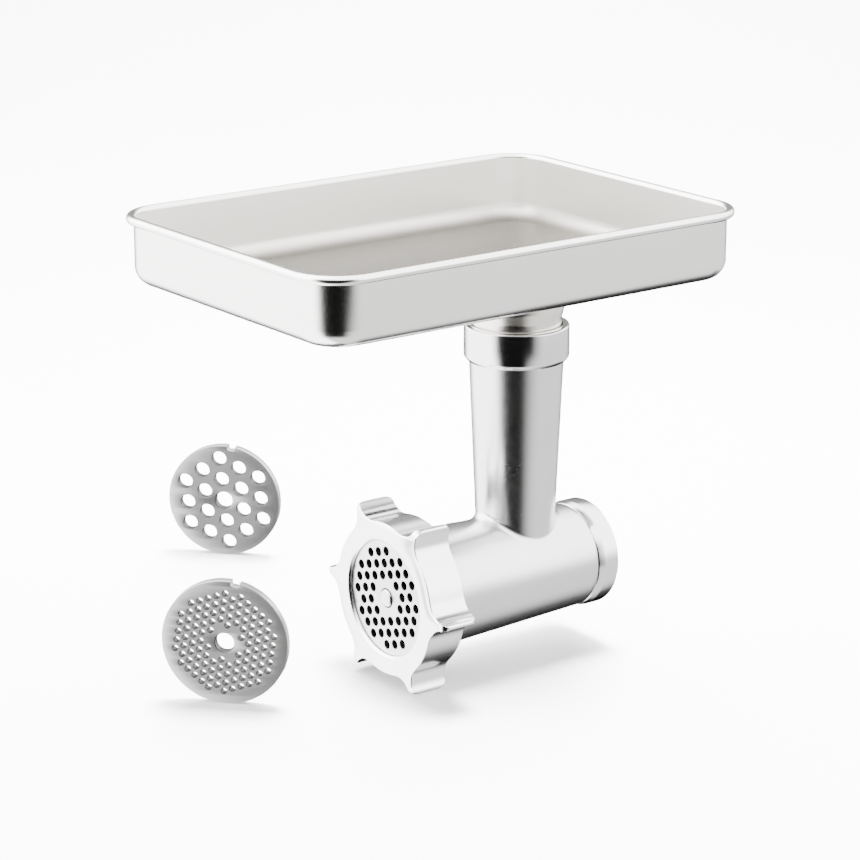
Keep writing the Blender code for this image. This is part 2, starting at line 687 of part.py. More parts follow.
def make_drive_shaft():
    tang = square_bar(DRIVE_SQUARE, TANG_Y, TANG_Y + DRIVE_TANG_LENGTH)
    shaft = place("drive_shaft", tang, STEEL)
    add_rod(shaft, "drive_round", DRIVE_RADIUS, JOURNAL_END_Y - DRIVE_INSERT, TANG_Y + JOIN, SMALL_ROUND)
    length = 2 * (DRIVE_RADIUS + CUT_PAST)
    hole = rod(DRIVE_PIN_RADIUS + GAP, length, SMALL_ROUND, along_x(0, DRIVE_PIN_Y))
    combine(shaft, "DIFFERENCE", place("shaft_cross_hole", hole, None))
    length = 2 * (WORM_BOSS_RADIUS - WORM_EDGE)
    place("drive_pin", rod(DRIVE_PIN_RADIUS, length, SMALL_ROUND, along_x(0, DRIVE_PIN_Y)), STEEL)


def make_bearing():
    bore = JOURNAL_RADIUS + RUNNING_GAP
    bush = turned(
        [
            (bore, BUSH_FLANGE_Y),
            (BUSH_FLANGE_RADIUS, BUSH_FLANGE_Y),
            (BUSH_FLANGE_RADIUS, BUSH_FLANGE_Y + BUSH_FLANGE),
            (BUSH_RADIUS, BUSH_FLANGE_Y + BUSH_FLANGE),
            (BUSH_RADIUS, BUSH_END_Y),
            (bore, BUSH_END_Y),
        ],
        MID_ROUND,
    )
    place("rear_bush", bush, BRONZE)
    middle = (bore + BUSH_RADIUS) / 2
    section = arc((middle, BUSH_END_Y + GAP + SEAL_SECTION), SEAL_SECTION, 0, 315, 7)
    place("shaft_seal", turned(section, MID_ROUND), RUBBER)
    washer = turned(
        [
            (bore, WASHER_Y),
            (WORM_BOSS_RADIUS, WASHER_Y),
            (WORM_BOSS_RADIUS, WASHER_Y + WASHER_THICKNESS),
            (bore, WASHER_Y + WASHER_THICKNESS),
        ],
        MID_ROUND,
    )
    place("thrust_washer", washer, NYLON)


# Flat pieces cut from outlines


def circle(radius, steps, centre=(0.0, 0.0), turn=0.0):
    angles = [turn + math.tau * i / steps for i in range(steps)]
    return [(centre[0] + radius * math.cos(a), centre[1] + radius * math.sin(a)) for a in angles]


def cut_sheet(name, outlines, thickness, finish):
    """A flat piece with holes, as a filled curve that faces along its own Z."""
    curve = bpy.data.curves.new(name, "CURVE")
    curve.dimensions = "2D"
    curve.fill_mode = "BOTH"
    curve.extrude = thickness / 2
    for outline in outlines:
        spline = curve.splines.new("POLY")
        spline.points.add(len(outline) - 1)
        for point, (x, y) in zip(spline.points, outline):
            point.co = (x, y, 0, 1)
        spline.use_cyclic_u = True
    curve.materials.append(metal(name + "_metal", *finish))
    item = bpy.data.objects.new(name, curve)
    bpy.context.scene.collection.objects.link(item)
    return item


def plate_edge(notch_angle):
    """The plate's round edge with its locating notch, anticlockwise."""
    half = math.asin(NOTCH_HALF_WIDTH / PLATE_RADIUS)
    sweep = math.tau - 2 * half
    points = []
    for i in range(ROUND + 1):
        angle = notch_angle + half + sweep * i / ROUND
        points.append((PLATE_RADIUS * math.cos(angle), PLATE_RADIUS * math.sin(angle)))
    for side in (-1, 1):
        across = side * NOTCH_HALF_WIDTH
        x = NOTCH_FLOOR * math.cos(notch_angle) - across * math.sin(notch_angle)
        y = NOTCH_FLOOR * math.sin(notch_angle) + across * math.cos(notch_angle)
        points.append((x, y))
    return points


def lattice(spacing, turn, hole):
    """Points of a triangular grid that leave metal round the centre hole and inside the edge."""
    nearest = PLATE_CENTRE_HOLE + hole + PLATE_LIGAMENT
    furthest = PLATE_RADIUS - hole - PLATE_RIM
    reach = int(furthest / spacing) + 2
    points = []
    for row in range(-reach, reach + 1):
        for column in range(-reach, reach + 1):
            x = spacing * (column + row / 2)
            y = spacing * row * math.sqrt(3) / 2
            if nearest < math.hypot(x, y) < furthest:
                turned_x = x * math.cos(turn) - y * math.sin(turn)
                turned_y = x * math.sin(turn) + y * math.cos(turn)
                points.append((turned_x, turned_y))
    return points


def make_plate(name, notch_angle, hole, spacing, turn, hole_steps, finish):
    outlines = [plate_edge(notch_angle), circle(PLATE_CENTRE_HOLE, SMALL_ROUND)]
    outlines += [circle(hole, hole_steps, centre) for centre in lattice(spacing, turn, hole)]
    return cut_sheet(name, outlines, PLATE_THICKNESS, finish)


def make_plates():
    medium = ("cutting_plate", MEDIUM_NOTCH, MEDIUM_HOLE, MEDIUM_SPACING, MEDIUM_TURN)
    cutting = make_plate(*medium, SMALL_HOLE_SIDES, MEDIUM_FINISH)
    cutting.rotation_euler = (math.radians(90), 0, 0)
    cutting.location = (0, (PLATE_FRONT_Y + PLATE_REAR_Y) / 2, 0)
    coarse = ("coarse_plate", COARSE_NOTCH, COARSE_HOLE, COARSE_SPACING, COARSE_TURN)
    fine = ("fine_plate", FINE_NOTCH, FINE_HOLE, FINE_SPACING, FINE_TURN)
    coarse = make_plate(*coarse, COARSE_HOLE_SIDES, COARSE_FINISH)
    fine = make_plate(*fine, SMALL_HOLE_SIDES, FINE_FINISH)
    for plate, (x, y) in ((coarse, COARSE_PLATE_AT), (fine, FINE_PLATE_AT)):
        plate.rotation_euler = (math.radians(90), 0, LOOSE_PLATE_AZIMUTH)
        plate.location = (x, y, FLOOR_Z + PLATE_RADIUS)


def make_knife():
    reach = CHAMBER_RADIUS - KNIFE_REACH_GAP
    half = KNIFE_BLADE_WIDTH / 2
    blade_outline = (
        (KNIFE_HUB_RADIUS, -half),
        (reach - KNIFE_TIP, -half * KNIFE_BLADE_SPREAD),
        (reach, 0),
        (reach - KNIFE_TIP / 2, half),
        (KNIFE_HUB_RADIUS, half),
    )
    outline = []
    for blade in range(KNIFE_BLADES):
        c = math.cos(math.tau * blade / KNIFE_BLADES)
        s = math.sin(math.tau * blade / KNIFE_BLADES)
        outline += [(x * c - y * s, x * s + y * c) for x, y in blade_outline]
    side = STUD_SQUARE / 2 + GAP
    square = [(-side, -side), (side, -side), (side, side), (-side, side)]
    knife = cut_sheet("knife", [outline, square], KNIFE_THICKNESS, STEEL)
    knife.rotation_euler = (math.radians(90), 0, 0)
    knife.location = (0, (KNIFE_FRONT_Y + KNIFE_REAR_Y) / 2, 0)


# Ring nut


def lug_outline():
    """The ring's outline: a circle with concave-flanked lugs, the first near +X."""
    start = (RING_RADIUS * math.cos(LUG_ROOT_ANGLE), RING_RADIUS * math.sin(LUG_ROOT_ANGLE))
    bend = (RING_RADIUS + LUG_BEND_OUT, LUG_TIP_HALF_WIDTH + LUG_BEND_ACROSS)
    end = (LUG_RADIUS - LUG_TIP_LENGTH, LUG_TIP_HALF_WIDTH)
    half = []
    for i in range(FLANK_STEPS + 1):
        t = i / FLANK_STEPS
        weights = ((1 - t) ** 2, 2 * t * (1 - t), t * t)
        half.append([sum(w * point[k] for w, point in zip(weights, (start, bend, end))) for k in (0, 1)])
    half.append((LUG_RADIUS, LUG_TIP_HALF_WIDTH / 2))
    one = [(x, -y) for x, y in half] + [(x, y) for x, y in reversed(half)]
    step = math.tau / LUG_COUNT
    between = step - 2 * LUG_ROOT_ANGLE
    for i in range(1, LUG_VALLEY_STEPS):
        angle = LUG_ROOT_ANGLE + between * i / LUG_VALLEY_STEPS
        one.append((RING_RADIUS * math.cos(angle), RING_RADIUS * math.sin(angle)))
    outline = []
    for lug in range(LUG_COUNT):
        c, s = math.cos(LUG_TURN + step * lug), math.sin(LUG_TURN + step * lug)
        outline += [(x * c - y * s, x * s + y * c) for x, y in one]
    return outline


def make_ring_nut():
    ring = place("ring_nut", prism(lug_outline(), RING_FRONT_Y, RING_REAR_Y), RING_FINISH)
    reach = LUG_RADIUS + CUT_PAST
    inner = LUG_RADIUS - LUG_CORNER
    envelope = turned(
        [
            (0, RING_FRONT_Y - CUT_PAST),
            (inner, RING_FRONT_Y - CUT_PAST),
            *arc((inner, RING_FRONT_Y + LUG_CORNER), LUG_CORNER, -90, -15, ARC_STEPS),
            (reach, RING_FRONT_Y + LUG_CORNER),
            (reach, RING_REAR_Y - LUG_CORNER),
            *arc((inner, RING_REAR_Y - LUG_CORNER), LUG_CORNER, 15, 90, ARC_STEPS),
            (inner, RING_REAR_Y + CUT_PAST),
            (0, RING_REAR_Y + CUT_PAST),
        ],
        ROUND,
    )
    combine(ring, "INTERSECT", place("lug_envelope", envelope, None))
    bore = turned(
        [
            (0, RING_FRONT_Y - CUT_PAST),
            (RING_OPENING + RING_CHAMFER + CUT_PAST, RING_FRONT_Y - CUT_PAST),
            (RING_OPENING, RING_FRONT_Y + RING_CHAMFER),
            (RING_OPENING, RING_LIP_Y),
            (PLATE_SEAT_RADIUS, RING_LIP_Y),
            (PLATE_SEAT_RADIUS, MOUTH_Y - GAP),
            (THREAD_BORE_RADIUS, MOUTH_Y - GAP),
            (THREAD_BORE_RADIUS, RING_REAR_Y + CUT_PAST),
            (0, RING_REAR_Y + CUT_PAST),
        ],
        ROUND,
    )
    combine(ring, "DIFFERENCE", place("ring_bore", bore, None))


def main():
    clear_scene()
    make_housing()
    make_plate_key()
    make_hub_collar()
    make_feed_collar()
    make_tray_pan()
    make_tray_spout()
    make_auger()
    make_front_stud()
    make_drive_shaft()
    make_bearing()
    make_knife()
    make_plates()
    make_ring_nut()


main()
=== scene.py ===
"""Fine meshes, metal finishes, floor, light and camera for the meat grinder head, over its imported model."""

import json
import math

import bmesh
import bpy
from mathutils import Matrix, Vector
from mathutils.geometry import tessellate_polygon

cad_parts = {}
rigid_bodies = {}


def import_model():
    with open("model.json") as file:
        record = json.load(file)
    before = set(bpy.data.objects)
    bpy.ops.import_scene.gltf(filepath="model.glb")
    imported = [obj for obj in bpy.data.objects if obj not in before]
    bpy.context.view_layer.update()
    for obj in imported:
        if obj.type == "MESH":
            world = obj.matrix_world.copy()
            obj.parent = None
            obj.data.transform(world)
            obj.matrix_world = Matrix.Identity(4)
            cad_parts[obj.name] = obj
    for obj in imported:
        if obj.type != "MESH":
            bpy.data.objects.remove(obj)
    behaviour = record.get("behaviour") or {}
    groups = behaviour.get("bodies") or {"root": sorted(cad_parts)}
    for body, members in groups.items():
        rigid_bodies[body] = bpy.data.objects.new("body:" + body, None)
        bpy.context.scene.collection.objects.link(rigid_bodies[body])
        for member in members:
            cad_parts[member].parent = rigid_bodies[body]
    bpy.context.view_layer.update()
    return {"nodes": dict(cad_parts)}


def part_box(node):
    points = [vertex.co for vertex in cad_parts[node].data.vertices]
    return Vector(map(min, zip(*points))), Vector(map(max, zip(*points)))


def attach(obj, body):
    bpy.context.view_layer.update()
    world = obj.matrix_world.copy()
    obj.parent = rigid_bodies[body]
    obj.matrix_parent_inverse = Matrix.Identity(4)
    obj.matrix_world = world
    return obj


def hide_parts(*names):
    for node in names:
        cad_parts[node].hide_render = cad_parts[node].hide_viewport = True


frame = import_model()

MM = 0.001

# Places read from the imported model
HOUSING_LOW, HOUSING_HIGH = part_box("housing")
HUB_LOW, HUB_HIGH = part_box("hub_collar")
COLLAR_LOW, COLLAR_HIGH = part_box("feed_collar")
RING_LOW, RING_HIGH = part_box("ring_nut")
PLATE_LOW, PLATE_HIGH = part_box("cutting_plate")
PAN_LOW, PAN_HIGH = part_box("tray_pan")
SPOUT_LOW, SPOUT_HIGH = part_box("tray_spout")
STUD_LOW, STUD_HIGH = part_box("front_stud")
FLOOR_Z = min(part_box("coarse_plate")[0].z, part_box("fine_plate")[0].z)
TUBE_Y = (COLLAR_LOW.y + COLLAR_HIGH.y) / 2
MOUTH_Y = HOUSING_LOW.y
BARREL_REAR_Y = HOUSING_HIGH.y
TUBE_TOP_Z = HOUSING_HIGH.z
THREAD_RADIUS = HOUSING_HIGH.x
HUB_RADIUS = HUB_HIGH.x
COLLAR_RADIUS = COLLAR_HIGH.x
LUG_RADIUS = RING_HIGH.x
SPOUT_FLANGE_RADIUS = SPOUT_HIGH.x
PLATE_RADIUS = PLATE_HIGH.x

# Fits and edges
GAP = 0.3 * MM
EDGE = 0.4 * MM

# Barrel and its hub collar
BARREL_FRONT_Y = MOUTH_Y + 16.5 * MM
BARREL_FRONT_RADIUS = THREAD_RADIUS - 4.6 * MM
BARREL_REAR_RADIUS = HUB_RADIUS - 0.9 * MM
BARREL_WALL = 3.1 * MM
THREAD_START_Y = MOUTH_Y + 11.0 * MM
THREAD_PITCH = 3.0 * MM
THREAD_DEPTH = 1.4 * MM
PLATE_SEAT_RADIUS = PLATE_RADIUS + GAP
SEAT_Y = PLATE_HIGH.y + GAP
CHAMBER_RADIUS = PLATE_SEAT_RADIUS - 3.3 * MM
CHAMBER_Y = SEAT_Y + 6.1 * MM
BORE_FRONT_Y = CHAMBER_Y + 2.0 * MM
REAR_WALL_Y = HUB_LOW.y - GAP
CHAMBER_END_Y = REAR_WALL_Y - 6.2 * MM
BUSH_SEAT_RADIUS = 11.0 * MM
REGISTER_RADIUS = BARREL_REAR_RADIUS - 2.9 * MM
HUB_SOCKET_RADIUS = REGISTER_RADIUS - 2.5 * MM
HUB_BAND_FRONT_Y = -12.5 * MM

# Feed tube, its collar and the spout
TUBE_FILLET = 4.5 * MM
TUBE_BAND_RADIUS = COLLAR_RADIUS - 1.6 * MM
TUBE_TOP_RADIUS = TUBE_BAND_RADIUS - 0.9 * MM
TUBE_FOOT_RADIUS = TUBE_TOP_RADIUS - 4.3 * MM
TUBE_FOOT_Z = 10.0 * MM
TUBE_STEP_Z = COLLAR_LOW.z + 1.2 * MM
TUBE_WALL = 2.5 * MM
SOCKET_RADIUS = TUBE_BAND_RADIUS - 1.8 * MM
SOCKET_FLOOR_Z = SPOUT_LOW.z - GAP
SPOUT_RADIUS = SOCKET_RADIUS - 0.4 * MM
SPOUT_UPPER_RADIUS = SPOUT_RADIUS + 1.4 * MM
SPOUT_WALL = 1.1 * MM
SPOUT_STEP_Z = COLLAR_HIGH.z + 5.0 * MM
SPOUT_FLANGE = 1.2 * MM
COLLAR_SKIRT = 2.4 * MM
COLLAR_SHOULDER = 4.0 * MM

# Tray
SHEET = 0.9 * MM
RIM_RADIUS = 2.2 * MM
PAN_CORNER = 24.2 * MM
PAN_FLOOR_ROUND = 9.0 * MM
RIM_START_DEGREES = -62.0
RIM_STEP_DEGREES = 12.8

# Ring nut
LUG_COUNT = 6
RING_RADIUS = THREAD_RADIUS + GAP + 3.9 * MM
LUG_TURN = math.radians(-2.5)
RING_OPENING = PLATE_RADIUS - 2.4 * MM
LUG_TIP_HALF = 1.5 * MM
LUG_ROOT = math.radians(15.0)
LUG_CORNER = 4.5 * MM

# Plates: hole radius, spacing, turn of the pattern, angle of the notch
MEDIUM = (2.25 * MM, 6.6 * MM, math.radians(16.6), math.radians(90.0))
COARSE = (4.0 * MM, 11.8 * MM, math.radians(35.7), math.radians(81.5))
FINE = (1.5 * MM, 4.44 * MM, math.radians(19.3), math.radians(79.3))
PLATE_THICKNESS = PLATE_HIGH.y - PLATE_LOW.y
PLATE_CENTRE_HOLE = 4.7 * MM
PLATE_RIM = 3.1 * MM
PLATE_LIGAMENT = 2.0 * MM
PLATE_EDGE = 0.35 * MM
NOTCH_HALF = 2.0 * MM
NOTCH_FLOOR = 28.8 * MM
LOOSE_AZIMUTH = math.radians(42.3)

# Stud in the worm's nose, and the bearing at its rear
STUD_RADIUS = 4.3 * MM
STUD_SHANK = 3.9 * MM
STUD_SQUARE_HALF = 4.8 * MM
STUD_SQUARE_CORNER = 1.36
STUD_SQUARE_LENGTH = 5.5 * MM
ROD_EDGE = 0.35 * MM
BUSH_NOSE_RADIUS = 10.7 * MM
BUSH_BORE_RADIUS = 8.1 * MM
BUSH_FLANGE = 2.0 * MM
SEAL_BORE_RADIUS = 8.2 * MM
SEAL_LIP = 0.5 * MM

# Finishes
METAL_GRAIN_DEPTH = 0.2 * MM
MOULDED_GRAIN_DEPTH = 0.1 * MM

# Facets
BARREL_COLUMNS = 160
PATCH_COLUMNS = 60
PATCH_ROWS = 54
PATCH_STEPS = 9
MIDDLE_ROWS = 14
FLARE_ROWS = 10
THREAD_ROWS = 44
NUT_THREAD_ROWS = 46
FILLET_ROWS = 12
TUBE_ROWS = 16
BORE_ROWS = 12
PAN_CORNER_STEPS = 20
PAN_ROUND_STEPS = 10
RIM_STEPS = 20
LUG_CURVE_STEPS = 16
LUG_VALLEY_STEPS = 9
LUG_CORNER_STEPS = 8
PLATE_EDGE_STEPS = 120
CENTRE_HOLE_SIDES = 48
WIDE_HOLE_SIDES = 28
NARROW_HOLE_SIDES = 20
STUD_STEPS = 64
ROD_STEPS = 40
TURN_STEPS = 128
ARC_STEP = math.radians(15.0)

# Studio: what polished metal reflects from each side, what lights the rest, and what the eye sees behind it
HORIZON_GLOW = 1.75
CEILING_GLOW = 7.0
LEFT_GLOW = 5.5
DARK_SIDE = 0.995
GREY_SIDE = 0.93
GREY_BELOW = 0.95
ROOM_GLOW = 0.35
BACKDROP_GLOW = 9.0
FLOOR_HALF = 6.0
LAMP_TARGET = (0.0, -0.07, 0.05)
CAMERA_PLACE = (1.13525, -0.94377, 0.49753)
CAMERA_RIGHT = (0.59742, 0.80193, 0.0)
CAMERA_BACK = (0.76917, -0.57302, 0.28287)
CAMERA_LENS = 128.56
CAMERA_SENSOR = 36.0


# Shader graph


class Value:
    """A shader socket that can be used in ordinary arithmetic."""

    def __init__(self, graph, socket):
        self.graph = graph
        self.socket = socket

    def math(self, operation, first, second):
        return self.graph.add("ShaderNodeMath", {"operation": operation}, {0: first, 1: second})

    def __add__(self, other):
        return self.math("ADD", self, other)

    def __radd__(self, other):
        return self.math("ADD", other, self)

    def __sub__(self, other):
        return self.math("SUBTRACT", self, other)

    def __rsub__(self, other):
        return self.math("SUBTRACT", other, self)

    def __mul__(self, other):
        return self.math("MULTIPLY", self, other)

    def __rmul__(self, other):
        return self.math("MULTIPLY", other, self)


class Graph:
    """A node tree in which nodes are made from values and read as values."""

    def __init__(self, tree):
        self.tree = tree

    def add(self, kind, settings=None, sockets=None, out=0):
        """Adds a node: its settings first, then the values or links of its sockets."""
        node = self.tree.nodes.new(kind)
        for name, value in (settings or {}).items():
            setattr(node, name, value)
        for name, value in (sockets or {}).items():
            self.feed(node.inputs[name], value)
        return Value(self, node.outputs[out])

    def feed(self, socket, value):
        if isinstance(value, Value):
            self.tree.links.new(value.socket, socket)
        else:
            socket.default_value = value

    def noise(self, scale, detail=2.0, stretch=(1.0, 1.0, 1.0)):
        """Cloudy values from 0 to 1, in cells per metre, drawn out along an axis by a small stretch."""
        where = self.add("ShaderNodeTexCoord", out="Object")
        where = self.add("ShaderNodeVectorMath", {"operation": "MULTIPLY"}, {0: where, 1: stretch})
        return self.add("ShaderNodeTexNoise", {}, {"Vector": where, "Scale": scale, "Detail": detail})

    def ease(self, value, low, high, low_out=0.0, high_out=1.0):
        """Smooth step from one output to the other as the value goes from low to high."""
        sockets = {"Value": value, "From Min": low, "From Max": high, "To Min": low_out, "To Max": high_out}
        return self.add("ShaderNodeMapRange", {"interpolation_type": "SMOOTHSTEP"}, sockets)

    def blend(self, factor, first, second):
        """Mix of two colours, each a colour or the value of a node."""
        first, second = (c if isinstance(c, Value) else (*c, 1.0) for c in (first, second))
        sockets = {"Factor": factor, 6: first, 7: second}
        return self.add("ShaderNodeMix", {"data_type": "RGBA"}, sockets, out=2)

    def split(self, vector):
        """The three parts of a vector."""
        parts = self.add("ShaderNodeSeparateXYZ", {}, {0: vector}).socket.node.outputs
        return [Value(self, part) for part in parts]

    def bump(self, height, strength, depth):
        return self.add("ShaderNodeBump", {}, {"Height": height, "Strength": strength, "Distance": depth})


def new_material(name):
    material = bpy.data.materials.new(name)
    material.use_nodes = True
    return material, Graph(material.node_tree), material.node_tree.nodes["Principled BSDF"]


def metal(name, colour, dark, roughness, grain, spread=0.05, bump=0.02, stretch=(1.0, 1.0, 1.0)):
    """Metal with clouded colour, uneven gloss, and a grain drawn out along an axis by a small stretch."""
    material, graph, shader = new_material(name)
    cloud = graph.noise(28.0, 3.0)
    lines = graph.noise(grain, 4.0, stretch)
    worn = graph.ease(cloud, 0.35, 0.75)
    graph.feed(shader.inputs["Base Color"], graph.blend(worn * 0.5 + lines * 0.4, colour, dark))
    graph.feed(shader.inputs["Roughness"], roughness + spread * (cloud - 0.5) + spread * (lines - 0.5))
    graph.feed(shader.inputs["Normal"], graph.bump(lines * 0.7 + cloud * 0.3, bump, METAL_GRAIN_DEPTH))
    shader.inputs["Metallic"].default_value = 1.0
    return material


def plain(name, colour, dark, roughness, grain):
    """Rubber or plastic with a fine moulded grain."""
    material, graph, shader = new_material(name)
    lines = graph.noise(grain, 3.0)
    graph.feed(shader.inputs["Base Color"], graph.blend(lines, colour, dark))
    graph.feed(shader.inputs["Roughness"], roughness + 0.1 * (lines - 0.5))
    graph.feed(shader.inputs["Normal"], graph.bump(lines, 0.1, MOULDED_GRAIN_DEPTH))
    return material


def tray_inside_metal():
    """Satin sheet, rougher on the floor, whose floor is painted dark as shade while the walls are brighter.
    """
    material, graph, shader = new_material("tray_inside")
    height = graph.split(graph.add("ShaderNodeTexCoord", out="Object"))[2]
    wall = graph.ease(height, PAN_LOW.z + 1.0 * MM, PAN_LOW.z + PAN_FLOOR_ROUND)
    cloud = graph.noise(22.0, 3.0)
    lines = graph.noise(900.0, 4.0, (1.0, 0.04, 1.0))
    # Painted shade: the floor's colour is far darker than the walls', blended in by height
    painted_floor_shade = graph.blend(cloud * 0.6 + lines * 0.4, (0.165, 0.154, 0.136), (0.135, 0.126, 0.11))
    bright = graph.blend(lines, (0.88, 0.86, 0.815), (0.83, 0.805, 0.765))
    graph.feed(shader.inputs["Base Color"], graph.blend(wall, painted_floor_shade, bright))
    graph.feed(shader.inputs["Roughness"], 0.46 - 0.16 * wall + 0.06 * (lines - 0.5))
    graph.feed(shader.inputs["Metallic"], 1.0 - 0.62 * wall)
    graph.feed(shader.inputs["Normal"], graph.bump(lines, 0.04, METAL_GRAIN_DEPTH))
    return material


INSIDE_SHEET = tray_inside_metal()
SATIN_SHEET = metal(
    "satin_sheet", (0.88, 0.87, 0.85), (0.82, 0.81, 0.79), 0.20, 900.0, bump=0.04, stretch=(1.0, 0.04, 1.0)
)
# The spout's warm beige tint is a painted reflection of the tray's warm inside
SPUN_SHEET = metal(
    "spun_sheet", (0.80, 0.765, 0.71), (0.72, 0.69, 0.64), 0.25, 1200.0, bump=0.03, stretch=(0.05, 0.05, 1.0)
)
POLISHED = metal("polished_casting", (0.72, 0.72, 0.72), (0.64, 0.64, 0.64), 0.26, 420.0, bump=0.007)
TURNED = metal(
    "turned_polish", (0.76, 0.76, 0.76), (0.69, 0.69, 0.69), 0.16, 1500.0, stretch=(0.06, 0.06, 1.0)
)
RING_POLISH = metal("ring_polish", (0.90, 0.90, 0.905), (0.84, 0.845, 0.85), 0.19, 420.0, bump=0.02)
GROUND = metal(
    "ground_plate", (0.66, 0.655, 0.65), (0.58, 0.575, 0.575), 0.33, 1400.0, 0.08, 0.05, (1.0, 1.0, 0.05)
)
BLASTED = metal("blasted_plate", (0.55, 0.54, 0.54), (0.48, 0.475, 0.475), 0.42, 1600.0, 0.1, 0.1)
# Painted shade: hole walls coloured near black so the holes show dark rims
HOLE_SHADE = metal("painted_hole_shade", (0.12, 0.12, 0.12), (0.08, 0.08, 0.08), 0.4, 900.0, 0.1, 0.05)
TOOL_STEEL = metal("tool_steel", (0.70, 0.70, 0.70), (0.62, 0.62, 0.63), 0.24, 1100.0, 0.05, 0.015)
CAST = metal("cast_worm", (0.74, 0.74, 0.735), (0.62, 0.62, 0.62), 0.3, 700.0, 0.12, 0.08)
BRONZE = metal("bearing_bronze", (0.76, 0.54, 0.28), (0.62, 0.42, 0.2), 0.32, 900.0, 0.1, 0.05)
RUBBER = plain("seal_rubber", (0.02, 0.02, 0.02), (0.035, 0.035, 0.035), 0.6, 900.0)
NYLON = plain("washer_nylon", (0.86, 0.85, 0.81), (0.80, 0.79, 0.75), 0.45, 700.0)


# Mesh making


class Skin:
    """Points and faces that grow ring by ring into one closed mesh."""

    def __init__(self):
        self.points = []
        self.faces = []
        self.inside = []

    def ring(self, points):
        start = len(self.points)
        self.points += [Vector(point) for point in points]
        return list(range(start, len(self.points)))

    def bridge(self, ring, following, gaps=()):
        for i in range(len(ring)):
            j = (i + 1) % len(ring)
            if i not in gaps:
                self.faces.append((ring[i], ring[j], following[j], following[i]))

    def chain(self, rings, close=False):
        for ring, following in zip(rings, rings[1:] + rings[:1] if close else rings[1:]):
            self.bridge(ring, following)

    def fill(self, *loops):
        """Flat faces between an outer loop and the loops inside it."""
        indices = [i for loop in loops for i in loop]
        for triangle in tessellate_polygon([[self.points[i] for i in loop] for loop in loops]):
            self.faces.append(tuple(indices[i] for i in triangle))

    def chain_capped(self, rings):
        self.chain(rings)
        self.fill(rings[0])
        self.fill(rings[-1])

    def mark_inside(self, start):
        """Gives the faces made since start the piece's inside material."""
        self.inside += range(start, len(self.faces))

    def piece(self, name, body, slot, nodes, material, sharp=32.0, inside=None):
        mesh = bpy.data.meshes.new(name)
        mesh.from_pydata(self.points, [], self.faces)
        mesh.materials.append(material)
        if inside:
            mesh.materials.append(inside)
        for i in self.inside:
            mesh.polygons[i].material_index = 1
        item = bpy.data.objects.new(name, mesh)
        bpy.context.scene.collection.objects.link(item)
        outward(mesh)
        mesh.shade_smooth()
        mesh.set_sharp_from_angle(angle=math.radians(sharp))
        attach(item, body)
        if nodes:
            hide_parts(*nodes)
        return item


def outward(mesh):
    """Turns every face to the outside of the closed mesh."""
    bm = bmesh.new()
    bm.from_mesh(mesh)
    bmesh.ops.remove_doubles(bm, verts=bm.verts, dist=1e-7)
    bmesh.ops.recalc_face_normals(bm, faces=bm.faces)
    bm.to_mesh(mesh)
    bm.free()


def circle(steps):
    return [math.tau * i / steps for i in range(steps)]


def barrel_circle(radius, y, steps=TURN_STEPS):
    """Points round the barrel's axis."""
    return [(radius * math.cos(a), y, radius * math.sin(a)) for a in circle(steps)]


def upright_circle(radius, z, steps=TURN_STEPS):
    """Points round the feed tube's axis."""
    return [(radius * math.cos(a), TUBE_Y + radius * math.sin(a), z) for a in circle(steps)]


def rounded(corners):
    """A closed profile with an arc at each corner that has a radius: (across, along, radius)."""
    profile = []
    for i, (across, along, radius) in enumerate(corners):
        here = Vector((across, along))
        before = Vector(corners[i - 1][:2]) - here
        after = Vector(corners[(i + 1) % len(corners)][:2]) - here
        if not radius:
            profile.append((across, along))
            continue
        half = before.angle(after) / 2
        reach = radius / math.tan(half)
        first = here + before.normalized() * reach
        last = here + after.normalized() * reach
        centre = here + (before.normalized() + after.normalized()).normalized() * radius / math.sin(half)
        sweep = (first - centre).angle_signed(last - centre)
        steps = max(2, math.ceil(abs(sweep) / ARC_STEP))
        for k in range(steps + 1):
            arm = (first - centre).copy()
            arm.rotate(Matrix.Rotation(-sweep * k / steps, 2))
            profile.append(tuple(centre + arm))
    return profile


def turned(corners, about=barrel_circle):
    """A profile with rounded corners, turned about the barrel's axis or the feed tube's."""
    skin = Skin()
    skin.chain([skin.ring(about(radius, station)) for radius, station in rounded(corners)], close=True)
    return skin


def mix(a, b, share):
    return a + (b - a) * share


# Housing


def barrel_radius(y):
    share = (y - BARREL_FRONT_Y) / (BARREL_REAR_Y - BARREL_FRONT_Y)
    return mix(BARREL_FRONT_RADIUS, BARREL_REAR_RADIUS, share)


def bore_radius(y):
    return barrel_radius(y) - BARREL_WALL


def tube_radius(z):
    share = (z - TUBE_FOOT_Z) / (TUBE_STEP_Z - TUBE_FOOT_Z)
    return mix(TUBE_FOOT_RADIUS, TUBE_TOP_RADIUS, share)


def thread_rise(angle, y):
    """How far a thread stands out at a place, from 0 to 1, on the helix that the ring nut follows."""
    phase = (y / THREAD_PITCH + angle / math.tau) % 1.0
    flank = abs(phase - 0.5) * 2
    return min(max(flank * 1.5 - 0.25, 0.0), 1.0)


def height_on(radius_at, direction, reach):
    """Height of a barrel surface at a distance from the feed tube's axis, or None beyond its side."""
    x = reach * math.cos(direction)
    square = radius_at(TUBE_Y + reach * math.sin(direction)) ** 2 - x * x
    return math.sqrt(square) if square > 0 else None


def nearest_on(radius_at, direction, centre, around):
    """A barrel surface's point nearest to a centre in a plane through the tube: distance, reach, height."""
    best = None
    # Three searches, each in a narrower span round the last one's find
    for width, count in ((14 * MM, 60), (0.6 * MM, 40), (0.04 * MM, 40)):
        middle = around if best is None else best[1]
        for i in range(count + 1):
            reach = middle + width * (i / count - 0.5)
            height = height_on(radius_at, direction, reach)
            if height is None:
                continue
            found = (math.hypot(reach - centre[0], height - centre[1]), reach, height)
            if best is None or found[0] < best[0]:
                best = found
    return best


